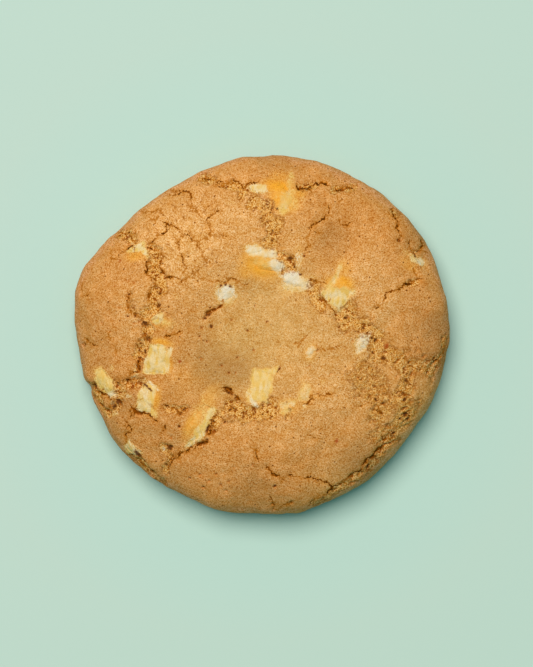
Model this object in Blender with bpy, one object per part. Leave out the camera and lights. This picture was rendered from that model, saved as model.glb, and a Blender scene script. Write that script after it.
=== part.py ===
# Stuffed cookie: one thick baked body of dough with white chocolate chunks set in its crust.
# Units are metres, +Z is up and the origin is the middle of the flat underside.
# Seen from above, +X is to the right and +Y is up. Tables give millimetres and degrees.

import math
import random

import bmesh
import bpy
import numpy as np
from mathutils import Matrix, Vector, noise
from mathutils.kdtree import KDTree

MM = 0.001

# Whole cookie
MEAN_RADIUS = 45.5 * MM
COOKIE_HEIGHT = 23.0 * MM
WIDEST_HEIGHT = 8.0 * MM        # height at which the side bulges out furthest
BASE_SHARE = 0.94               # radius of the flat underside as a share of the widest radius
DOME_POWER = 2.45               # 2 makes an ellipse, more makes a flatter top and tighter shoulder
GRID_CELLS = 64                 # cells along one side of the square sheet wrapped over the dough
PROFILE_STEPS = 200             # points that measure the side view
BASE_FADE_SHARE = 0.12          # last share of the way down, where the relief fades out

# Bulges (+) and flats (-) of the outline: direction, half width, rise
OUTLINE_BULGES = (
    (19, 40, 2.3),              # broad right side
    (39, 6, 0.6),
    (62, 16, -0.1),
    (122, 26, -1.4),            # flat upper left
    (118, 7, -0.9),
    (161, 13, 2.4),             # nose at the left
    (182, 11, 0.9),
    (194, 5, 1.2),              # lip beside the chunk at the rim
    (218, 6, 0.6),
    (235, 9, -0.3),
    (272, 10, -0.9),            # flat near side
    (295, 9, -0.7),
    (326, 13, -0.6),            # flat lower right
)

# Hollows (-) and swellings (+) of the top: x, y, radius, rise
TOP_SWELLS = (
    (0, 1.5, 15, -3.4),         # pressed-in middle
    (20, 24, 6.5, -1.6),        # small dip at the upper right
    (27, 13, 8, 0.9),           # ridge between the two
    (3, -29, 14, 0.8),          # smooth lobe along the near side
    (-36, 4, 9, 0.7),
)

# Lumps of the baked crust: spacing, height
LUMPS = ((15, 0.9), (6.5, 0.45), (3.0, 0.18))

# Fissures where the crust has split and the crumb shows: half width, depth, route
FISSURES = (
    (1.5, 1.2, ((-35.3, 26.1), (-27.5, 20.5), (-28.2, 17.2), (-26.2, 14.7), (-26.5, 10), (-26, 7.6))),
    (1.9, 1.5, ((-26, 7.6), (-29.5, 3), (-28.8, -1.8), (-30, -4.8), (-30.8, -8))),
    (2.2, 1.1, ((0.6, 32.9), (3.2, 27.9), (3.9, 23.3), (6.5, 18.7))),
    (1.0, 0.7, ((-25, 27), (-18.4, 25.8), (-14.3, 24.6), (-12, 32.9))),
    (1.0, 0.7, ((-18.1, 25.1), (-22.2, 21), (-21.4, 16.5), (-15.6, 14.4), (-6.5, 12.2))),
    (1.6, 1.0, ((19.6, 4.8), (25, 1), (32.8, -4.3), (37.4, -7.6), (46.5, -3.5))),
    (3.0, 1.2, ((30.8, -6.3), (36.1, -12.7), (34.6, -18), (31.3, -23.8))),
    (1.5, 1.7, ((33.1, -25.8), (25.7, -32.9), (16.8, -38), (10, -43.5))),
    (1.8, 1.9, ((-9.2, -13.9), (-11.8, -20), (-15.1, -26.9))),
    (1.7, 1.2, ((-9.2, -17), (-5.2, -18.7), (0.1, -19.8), (4.7, -19.5))),
    (3.2, 1.3, ((-38.5, -17), (-33, -13), (-29.5, -12))),
    (1.6, 1.5, ((-36, -27), (-33.3, -30), (-29, -34.2), (-25, -37.5))),
    (1.0, 0.8, ((1.4, -32.9), (3.2, -35), (11, -35.7), (17.1, -36.2))),
    (1.1, 0.8, ((30, 9.4), (33.3, 11.4), (38.6, 13.7))),
    (1.2, 0.8, ((9.2, 37), (14.3, 37.7), (23.4, 37.7))),
    (1.0, 0.7, ((34.1, 31.2), (34.6, 26.6), (37.9, 21.3))),
)
FISSURE_STEP = 0.4 * MM         # spacing of the points that measure a route
FISSURE_REACH = 2.5             # half widths past which a fissure no longer bends the crust
WANDER_SPACING = 4.0 * MM       # size of the bends that noise gives to a fissure
WANDER = 1.0 * MM
FISSURE_FOOT = 8.0 * MM         # height below which no fissure reaches down the side
FISSURE_FADE = 7.0 * MM         # height over which it comes to its full depth

# White chocolate chunks: x, y, length, width, turn, corners, and how much wider the far end is
CHUNKS = (
    (3.6, 34.9, 9.5, 7.2, -35, 5, -0.3),
    (-30.8, 20.5, 6, 4, 12, 5, -0.3),
    (1.1, 18.5, 9.5, 5.4, -18, 5, -0.2),
    (8.5, 13.8, 6.8, 4.2, -18, 6, -0.3),
    (-8.9, 10.6, 4.6, 4.4, 10, 6, 0.0),
    (19.1, 10.6, 7.4, 6.6, 50, 4, 0.0),
    (25.3, -1.9, 5.6, 3.4, 62, 5, 0.2),
    (38.8, 18.7, 5.6, 2.4, -38, 4, 0.3),
    (-23.9, 3.3, 6.2, 4.6, -35, 4, -0.3),
    (-26.2, -6.2, 7.8, 5.2, -97, 4, 0.6),
    (-39.3, -11.9, 7.6, 4.8, -54, 6, 0.1),
    (-28.5, -15.6, 8.2, 4.4, 72, 4, -0.1),
    (-15.9, -22.6, 12.4, 4.2, 58, 5, 0.4),
    (-0.1, -12.8, 9.2, 6.2, 80, 4, 0.15),
    (11.0, -14.3, 5, 3, 72, 4, 0.2),
    (12.3, -4.1, 3.2, 2.2, 55, 4, 0.0),
    (7.0, -18.2, 4.4, 2.6, 10, 4, 0.2),
    (-32.6, -28.5, 4.8, 3.8, -45, 4, 0.1),
)
CHUNK_THICKNESS = 4.0 * MM
CHUNK_PROUD = 0.5 * MM          # how far a chunk's top stands out of the crust
CHUNK_TAPER = 0.86              # size of a chunk's top as a share of its bottom
CHUNK_JITTER = 0.13             # uneven corners, as a share of the chunk's size
CHUNK_BEVEL = 0.6 * MM
CHUNK_SEED = 4
SOCKET_GAP = 0.3 * MM           # clearance between a chunk and the dough round it
SOCKET_HEADROOM = 4.0 * MM      # how far a socket's cutter reaches above its chunk
SLOPE_PROBE = 1.5 * MM          # distance over which the crust's slope is measured

DOUGH_COLOUR = (0.584, 0.291, 0.067, 1.0)
CHUNK_COLOUR = (0.871, 0.701, 0.352, 1.0)


def outline_radius(angle):
    """Widest radius of the cookie in one direction."""
    radius = MEAN_RADIUS
    for direction, half_width, rise in OUTLINE_BULGES:
        turn = (math.degrees(angle) - direction + 180.0) % 360.0 - 180.0
        radius += rise * MM * math.exp(-((turn / half_width) ** 2))
    return radius


def side_view():
    """Travelled share, radius share and height, from the middle of the top to the base's edge."""
    turn = np.linspace(0.0, math.pi / 2, PROFILE_STEPS)
    dome_radius = np.sin(turn) ** (2 / DOME_POWER)
    dome_height = WIDEST_HEIGHT + (COOKIE_HEIGHT - WIDEST_HEIGHT) * np.cos(turn) ** (2 / DOME_POWER)
    skirt_radius = BASE_SHARE + (1 - BASE_SHARE) * np.cos(turn[1:])
    skirt_height = WIDEST_HEIGHT * (1 - np.sin(turn[1:]))
    radius = np.concatenate((dome_radius, skirt_radius))
    height = np.concatenate((dome_height, skirt_height))
    lengths = np.hypot(np.diff(radius) * MEAN_RADIUS, np.diff(height))
    travelled = np.concatenate(((0.0,), np.cumsum(lengths)))
    return travelled / travelled[-1], radius, height


SHARES, RADIUS_SHARES, HEIGHTS = side_view()


def plain_point(share, angle):
    """Point of the smooth body at a share of the way down its side view."""
    radius = float(np.interp(share, SHARES, RADIUS_SHARES)) * outline_radius(angle)
    height = float(np.interp(share, SHARES, HEIGHTS))
    return Vector((radius * math.cos(angle), radius * math.sin(angle), height))


def plain_normal(share, angle):
    """Direction square to the smooth body, pointing out."""
    step = 1 / PROFILE_STEPS
    along = plain_point(min(share + step, 1.0), angle) - plain_point(max(share - step, 0.0), angle)
    across = Vector((-math.sin(angle), math.cos(angle), 0.0))
    return along.cross(across).normalized()


def fissure_tree():
    """Points along every fissure, to look up the nearest one."""
    points = []
    for half_width, depth, route in FISSURES:
        for start, end in zip(route, route[1:]):
            start_point = Vector((*start, 0.0)) * MM
            end_point = Vector((*end, 0.0)) * MM
            steps = max(1, round((end_point - start_point).length / FISSURE_STEP))
            for step in range(steps + 1):
                points.append((start_point.lerp(end_point, step / steps), half_width * MM, depth * MM))
    tree = KDTree(len(points))
    for index, (point, _, _) in enumerate(points):
        tree.insert(point, index)
    tree.balance()
    return tree, points


TREE, FISSURE_POINTS = fissure_tree()


def fissure_depth(place):
    """How far a fissure sinks the crust at a place."""
    bend = noise.noise_vector(place / WANDER_SPACING) * WANDER
    bent = Vector((place.x + bend.x, place.y + bend.y, 0.0))
    _, index, distance = TREE.find(bent)
    _, half_width, depth = FISSURE_POINTS[index]
    climb = min(1.0, (place.z - FISSURE_FOOT) / FISSURE_FADE)
    if distance > half_width * FISSURE_REACH or climb < 0.0:
        return 0.0
    return climb * depth * math.exp(-((distance / half_width) ** 2))


def relief(place):
    """How far the crust stands out of the smooth body at a place."""
    rise = 0.0
    for spacing, height in LUMPS:
        rise += height * MM * noise.noise(place / (spacing * MM))
    for x, y, radius, swell in TOP_SWELLS:
        distance = math.hypot(place.x / MM - x, place.y / MM - y)
        rise += swell * MM * math.exp(-((distance / radius) ** 2))
    return rise - fissure_depth(place)


def crust_point(share, angle):
    """Point of the real crust: the smooth body with its relief, which fades out at the base."""
    place = plain_point(share, angle)
    fade = min(1.0, (1.0 - share) / BASE_FADE_SHARE)
    return place + plain_normal(share, angle) * relief(place) * fade


def crust_above(x, y):
    """Point of the crust seen from above at x, y."""
    angle = math.atan2(y, x)
    dome = len(SHARES) // 2 + 1
    share = np.interp(math.hypot(x, y) / outline_radius(angle), RADIUS_SHARES[:dome], SHARES[:dome])
    return crust_point(float(share), angle)


def disc_place(across, up):
    """Share and angle of a point of a square sheet that is drawn into a round one."""
    share = max(abs(across), abs(up))
    if share == 0.0:
        return 0.0, 0.0
    if abs(across) >= abs(up):
        angle = math.pi / 4 * up / across
        return share, angle if across > 0 else angle + math.pi
    angle = math.pi / 2 - math.pi / 4 * across / up
    return share, angle if up > 0 else angle + math.pi


def add_object(name, bm, collection, material=None):
    """Object of its own from a bmesh."""
    mesh = bpy.data.meshes.new(name)
    bm.to_mesh(mesh)
    bm.free()
    mesh.shade_smooth()
    if material:
        mesh.materials.append(material)
    obj = bpy.data.objects.new(name, mesh)
    collection.objects.link(obj)
    return obj


def add_material(name, colour, roughness):
    """Plain material with one colour."""
    material = bpy.data.materials.new(name)
    material.use_nodes = True
    shader = material.node_tree.nodes["Principled BSDF"]
    shader.inputs["Base Color"].default_value = colour
    shader.inputs["Roughness"].default_value = roughness
    shader.inputs["Metallic"].default_value = 0.0
    return material


def build_dough(collection, cutters):
    """Body of the cookie: a sheet wrapped over it, closed by the flat underside, with the sockets."""
    bm = bmesh.new()
    bmesh.ops.create_grid(bm, x_segments=GRID_CELLS, y_segments=GRID_CELLS, size=1.0)
    for vert in bm.verts:
        vert.co = crust_point(*disc_place(vert.co.x, vert.co.y))
    rim = [edge for edge in bm.edges if edge.is_boundary]
    bmesh.ops.contextual_create(bm, geom=rim)
    bmesh.ops.recalc_face_normals(bm, faces=bm.faces)
    dough = add_object("dough", bm, collection, add_material("dough", DOUGH_COLOUR, 0.8))
    sockets = dough.modifiers.new("sockets", "BOOLEAN")
    sockets.operation = "DIFFERENCE"
    sockets.operand_type = "COLLECTION"
    sockets.collection = cutters
    sockets.solver = "EXACT"


def chunk_block(length, width, corners, widening, rng):
    """Uneven block with its top at z = 0."""
    bm = bmesh.new()
    bmesh.ops.create_cone(
        bm, cap_ends=True, segments=corners, radius1=0.5, radius2=0.5 * CHUNK_TAPER, depth=CHUNK_THICKNESS
    )
    corner_angle = 2 * math.pi / corners
    bmesh.ops.rotate(bm, verts=bm.verts, matrix=Matrix.Rotation(corner_angle / 2, 3, "Z"))
    fill = 1 / math.cos(corner_angle / 2)       # so that the flats, not the corners, give the size
    pulls = [fill * (1 + rng.uniform(-CHUNK_JITTER, CHUNK_JITTER)) for _ in range(corners)]
    for vert in bm.verts:
        corner = math.floor(math.atan2(vert.co.y, vert.co.x) / corner_angle) % corners
        vert.co.y *= width * pulls[corner] * (1 + widening * vert.co.x)
        vert.co.x *= length * pulls[corner]
        vert.co.z -= CHUNK_THICKNESS / 2
    bm.normal_update()
    return bm


def chunk_place(x, y, turn):
    """Place of a chunk: on the crust, square to it, turned about its own axis."""
    middle = crust_above(x, y)
    right = crust_above(x + SLOPE_PROBE, y) - crust_above(x - SLOPE_PROBE, y)
    up = crust_above(x, y + SLOPE_PROBE) - crust_above(x, y - SLOPE_PROBE)
    normal = right.cross(up).normalized()
    tilt = Vector((0.0, 0.0, 1.0)).rotation_difference(normal).to_matrix().to_4x4()
    spin = Matrix.Rotation(math.radians(turn), 4, "Z")
    return Matrix.Translation(middle + normal * CHUNK_PROUD) @ tilt @ spin


def grow_cutter(bm):
    """Turns a block into its socket's cutter: a gap wider all round, and reaching out of the crust."""
    moves = [vert.normal * vert.calc_shell_factor() * SOCKET_GAP for vert in bm.verts]
    for vert, move in zip(bm.verts, moves):
        vert.co += move
        if vert.co.z > -CHUNK_THICKNESS / 2:
            vert.co.z += SOCKET_HEADROOM


def round_chunk(bm):
    """Rounds the edges of a block that show."""
    shown = [edge for edge in bm.edges if max(vert.co.z for vert in edge.verts) > -CHUNK_THICKNESS / 2]
    bmesh.ops.bevel(
        bm, geom=shown, affect="EDGES", offset=CHUNK_BEVEL, segments=2, profile=0.5, material=-1
    )


def build_chunks(collection, cutters):
    """White chocolate chunks, each with the cutter of its socket."""
    material = add_material("white_chocolate", CHUNK_COLOUR, 0.5)
    for number, (x, y, length, width, turn, corners, widening) in enumerate(CHUNKS, start=1):
        place = chunk_place(x * MM, y * MM, turn)
        for shape in ("chunk", "socket"):
            rng = random.Random(CHUNK_SEED + number)
            bm = chunk_block(length * MM, width * MM, corners, widening, rng)
            if shape == "chunk":
                round_chunk(bm)
                obj = add_object(f"white_chocolate_{number:02d}", bm, collection, material)
            else:
                grow_cutter(bm)
                obj = add_object(f"socket_{number:02d}", bm, cutters)
                obj.hide_render = True
                obj.display_type = "WIRE"
            obj.matrix_world = place


def add_collection(name):
    """Collection linked to the scene."""
    collection = bpy.data.collections.new(name)
    bpy.context.scene.collection.children.link(collection)
    return collection


def main():
    for obj in list(bpy.data.objects):
        bpy.data.objects.remove(obj)
    cookie = add_collection("stuffed_cookie")
    cutters = add_collection("socket_cutters")
    build_chunks(cookie, cutters)
    build_dough(cookie, cutters)


main()
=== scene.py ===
import math
import random

import bmesh
import bpy
import numpy as np
from mathutils import Matrix, Vector, noise


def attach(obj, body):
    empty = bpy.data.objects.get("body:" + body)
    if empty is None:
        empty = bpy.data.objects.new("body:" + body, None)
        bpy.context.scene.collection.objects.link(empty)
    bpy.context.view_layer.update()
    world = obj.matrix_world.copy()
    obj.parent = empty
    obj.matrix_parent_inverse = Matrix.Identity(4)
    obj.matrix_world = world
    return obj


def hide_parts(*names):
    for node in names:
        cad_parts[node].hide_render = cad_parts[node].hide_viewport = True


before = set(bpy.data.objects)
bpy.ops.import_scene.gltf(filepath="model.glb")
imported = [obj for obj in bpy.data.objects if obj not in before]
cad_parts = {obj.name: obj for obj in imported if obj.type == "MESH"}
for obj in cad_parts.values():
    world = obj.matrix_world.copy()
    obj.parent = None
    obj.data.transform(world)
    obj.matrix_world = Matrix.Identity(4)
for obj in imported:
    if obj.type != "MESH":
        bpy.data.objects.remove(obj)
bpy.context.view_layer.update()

mm = 0.001

# shifts that keep one kind of noise from falling together with another
noiseShifts = {"grain": 3, "edges": 5, "bends": 7.3, "lumps": 13, "openings": 31}
noiseSeed = 11
noise.seed_set(noiseSeed)       # without it, vector noise differs from run to run


def hexColour(text):
    # sRGB hex to the linear colour that shaders take
    parts = [int(text[i:i + 2], 16) / 255 for i in (0, 2, 4)]
    return tuple(p / 12.92 if p <= 0.04045 else ((p + 0.055) / 1.055) ** 2.4 for p in parts) + (1.0,)


def addNode(tree, kind, settings=None, inputs=None, output=0):
    # one node with its settings and its inputs, each a value or another node's output
    node = tree.nodes.new(kind)
    for key, value in (settings or {}).items():
        setattr(node, key, value)
    for key, value in (inputs or {}).items():
        if isinstance(value, bpy.types.NodeSocket):
            tree.links.new(value, node.inputs[key])
        else:
            node.inputs[key].default_value = value
    return node.outputs[output]


def addPiece(name, bm):
    mesh = bpy.data.meshes.new(name)
    bm.to_mesh(mesh)
    bm.free()
    mesh.shade_smooth()
    piece = bpy.data.objects.new(name, mesh)
    bpy.context.scene.collection.objects.link(piece)
    return piece


def paint(mesh, fields):
    for name, values in fields.items():
        mesh.attributes.new(name, "FLOAT", "POINT").data.foreach_set("value", values.astype(np.float32))


def smoothStep(low, high, values):
    ratio = np.clip((values - low) / (high - low), 0, 1)
    return ratio * ratio * (3 - 2 * ratio)


def noiseAt(points, spacing, shift=0):
    # noise of one spacing in millimetres at every point
    return np.array([noise.noise(p) for p in (points / spacing + shift).tolist()])


def layeredNoise(points, layers, shift=0):
    # noises of several spacings, each with its own strength
    return sum(strength * noiseAt(points, spacing, shift) for spacing, strength in layers)


def bendAt(points, spacing, shift):
    return np.array([noise.noise_vector(p)[:] for p in (points / spacing + shift).tolist()])


def ellipseShare(points, x, y, length, width, turn=0):
    # distance from the middle of an ellipse, 1 at its edge
    away = (points - (x, y)) @ np.array(Matrix.Rotation(math.radians(turn), 2))
    return np.hypot(away[:, 0] / (length / 2), away[:, 1] / (width / 2))


def nearRows(points, x, y, reach):
    return np.nonzero(np.hypot(points[:, 0] - x, points[:, 1] - y) < reach)[0]


def moved(points, matrix):
    matrix = np.array(matrix)
    return points @ matrix[:3, :3].T + matrix[:3, 3]


# the cookie's body, as in the CAD model: millimetres and degrees
bodySizes = {
    "meanRadius": 45.5,
    "height": 23,
    "widestHeight": 8,
    "baseShare": 0.94,
    "domePower": 2.45,
    "profileSteps": 200,
    "baseFade": 0.12,
    "outlineBulges": (              # direction, half width, rise
        (19, 40, 2.3), (39, 6, 0.6), (62, 16, -0.1), (122, 26, -1.4), (118, 7, -0.9), (161, 13, 2.4),
        (182, 11, 0.9), (194, 5, 1.2), (218, 6, 0.6), (235, 9, -0.3), (272, 10, -0.9), (295, 9, -0.7),
        (326, 13, -0.6),
    ),
    "topSwells": (                  # x, y, radius, rise
        (0, 1.5, 15, -3.4), (20, 24, 6.5, -1.6), (27, 13, 8, 0.9), (3, -29, 14, 0.8), (-36, 4, 9, 0.7),
    ),
    "lumps": ((15, 0.9), (6.5, 0.45), (3, 0.18)),       # spacing, height
    "nick": (-44.7, -13.4, 1.3, -1.2),      # in the rim, which only the looks have: x, y, radius, rise
}


def outlineRadius(angle):
    radius = np.full(np.shape(angle), bodySizes["meanRadius"])
    for direction, halfWidth, rise in bodySizes["outlineBulges"]:
        turn = (np.degrees(angle) - direction + 180) % 360 - 180
        radius = radius + rise * np.exp(-(turn / halfWidth) ** 2)
    return radius


def sideView():
    # travelled share, radius share and height from the middle of the top to the base's edge
    turn = np.linspace(0, math.pi / 2, bodySizes["profileSteps"])
    power = 2 / bodySizes["domePower"]
    domeHeight = bodySizes["height"] - bodySizes["widestHeight"]
    radius = np.concatenate((
        np.sin(turn) ** power,
        bodySizes["baseShare"] + (1 - bodySizes["baseShare"]) * np.cos(turn[1:]),
    ))
    height = np.concatenate((
        bodySizes["widestHeight"] + domeHeight * np.cos(turn) ** power,
        bodySizes["widestHeight"] * (1 - np.sin(turn[1:])),
    ))
    lengths = np.hypot(np.diff(radius) * bodySizes["meanRadius"], np.diff(height))
    travelled = np.concatenate(((0,), np.cumsum(lengths)))
    return travelled / travelled[-1], radius, height


profileShare, profileRadius, profileHeight = sideView()


def plainPoints(share, angle):
    radius = np.interp(share, profileShare, profileRadius) * outlineRadius(angle)
    height = np.interp(share, profileShare, profileHeight)
    return np.stack((radius * np.cos(angle), radius * np.sin(angle), height), axis=1)


def plainNormals(share, angle):
    step = 1 / bodySizes["profileSteps"]
    along = plainPoints(np.minimum(share + step, 1), angle) - plainPoints(np.maximum(share - step, 0), angle)
    across = np.stack((-np.sin(angle), np.cos(angle), np.zeros(len(angle))), axis=1)
    normals = np.cross(along, across)
    return normals / np.linalg.norm(normals, axis=1)[:, None]


def shareAbove(x, y):
    # share of the way down the side view of the point seen from above at x, y
    angle = np.arctan2(y, x)
    top = slice(0, bodySizes["profileSteps"])
    share = np.interp(np.hypot(x, y) / outlineRadius(angle), profileRadius[top], profileShare[top])
    return share, angle


def spotField(places, spots, base=0):
    # round spots that fade outwards, added to a base: x, y, radius, amount
    field = np.zeros(len(places)) + base
    for x, y, radius, amount in spots:
        distance = np.hypot(places[:, 0] - x, places[:, 1] - y)
        field += amount * np.exp(-(distance / radius) ** 2)
    return field


def bodyRelief(places):
    lumps = layeredNoise(places, bodySizes["lumps"])
    return spotField(places, (*bodySizes["topSwells"], bodySizes["nick"]), lumps)


def crustAbove(x, y):
    # points of the crust seen from above at x, y, without the splits
    share, angle = shareAbove(np.atleast_1d(x), np.atleast_1d(y))
    places = plainPoints(share, angle)
    return places + plainNormals(share, angle) * bodyRelief(places)[:, None]


# wide tears that show the crumb: half width, depth, how much crumb shows, points of its route
tears = (
    (1.3, 0.5, 0.9, (-35.6, 26), (-33.6, 25.4), (-32.4, 24.2)),
    (1.7, 0.7, 0.85, (-27.2, 21), (-26.6, 17.6), (-27.2, 15.6), (-25.2, 15.2), (-26, 12), (-26.6, 9)),
    (1.5, 0.7, 0.8, (-26.6, 9), (-26.4, 6.4), (-28.8, 4), (-28.2, 1.6), (-28.6, -1), (-29.6, -3.6),
     (-30.4, -5.4)),
    (0.8, 0.2, 0.4, (-33, 10.4), (-32.8, 7.6), (-31.6, 5)),
    (2, 0.4, 0.68, (-1.6, 33.2), (0.4, 31.8), (2.4, 29.8), (2.8, 27.6), (2.7, 25.4), (2.6, 23.2)),
    (1.5, 0.6, 0.9, (5, 20), (6.8, 18.4), (7.4, 16.6)),
    (1.1, 0.4, 0.9, (-9.5, 37.2), (-6.4, 37.2), (-4.6, 36.2), (-5, 34.4)),
    (1.5, 0.4, 0.8, (12.4, 11.6), (13.4, 9.2), (15, 7.4)),
    (2.5, 0.5, 0.7, (20.8, 5), (22.6, 3), (24.8, 1.6), (27.6, 0.6)),
    (2.7, 0.3, 0.57, (28.6, -3.4), (33, -5.6), (36.4, -7.4), (41, -8)),
    (1.2, 0.35, 0.8, (41.6, -9), (44, -6.8), (46, -4), (46.8, -1)),
    (3.7, 0.25, 0.5, (24.8, -10.5), (27.6, -13), (30, -16.4), (30.2, -19.6)),
    (3.4, 0.35, 0.6, (36.8, -9.4), (36.6, -12), (35.8, -15.4), (36.2, -19.4), (34, -22.8), (31.8, -24.6)),
    (1.1, 0.35, 0.75, (32.4, -26.3), (28.6, -31.5), (25.8, -34.3), (20.8, -38.1), (16.8, -41.3),
     (13.4, -43)),
    (1.1, 0.5, 0.7, (-9.6, -19), (-11, -21.4), (-11.8, -23.6)),
    (2.3, 0.5, 0.75, (-7.6, -18.6), (-4.4, -18.8), (-0.6, -19), (3.6, -18.6)),
    (0.7, 0.3, 0.6, (6.8, -19.4), (6.6, -20.8)),
    (0.9, 0.5, 0.8, (-23.4, -18.2), (-20.6, -18.8), (-18.6, -18.2)),
    (1.3, 0.7, 0.9, (-37, -12.4), (-35.2, -14.6), (-35.8, -17.4), (-37.2, -18)),
    (1.6, 0.9, 0.9, (-33.6, -12.2), (-31.6, -12), (-30, -12.4)),
    (1.2, 0.6, 0.9, (-42.8, -13), (-41, -16), (-40.4, -18.6), (-38.8, -19.8)),
    (1.1, 0.5, 0.85, (-24, -28.4), (-22.8, -31.2), (-24.2, -33.6)),
    (1, 0.9, 0.9, (-32.2, -31), (-29.6, -33.4), (-27.4, -35.2), (-24.6, -37.4)),
    (1.2, 0.5, 0.8, (-14.8, 39.6), (-12.4, 38.8)),
    (0.9, 0.4, 0.75, (9.6, 37.2), (11.4, 37.3), (13.4, 37.8)),
    (0.8, 0.4, 0.75, (18.4, 36.6), (20.8, 37), (23.4, 37.4)),
    (0.8, 0.4, 0.7, (36.9, 12.8), (38.9, 13.4)),
    (0.8, 0.3, 0.7, (33.4, 31.6), (34.6, 30.6)),
    (0.9, 0.3, 0.7, (38.2, 20.6), (39.6, 21.2), (40.6, 22.6)),
)

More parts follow.
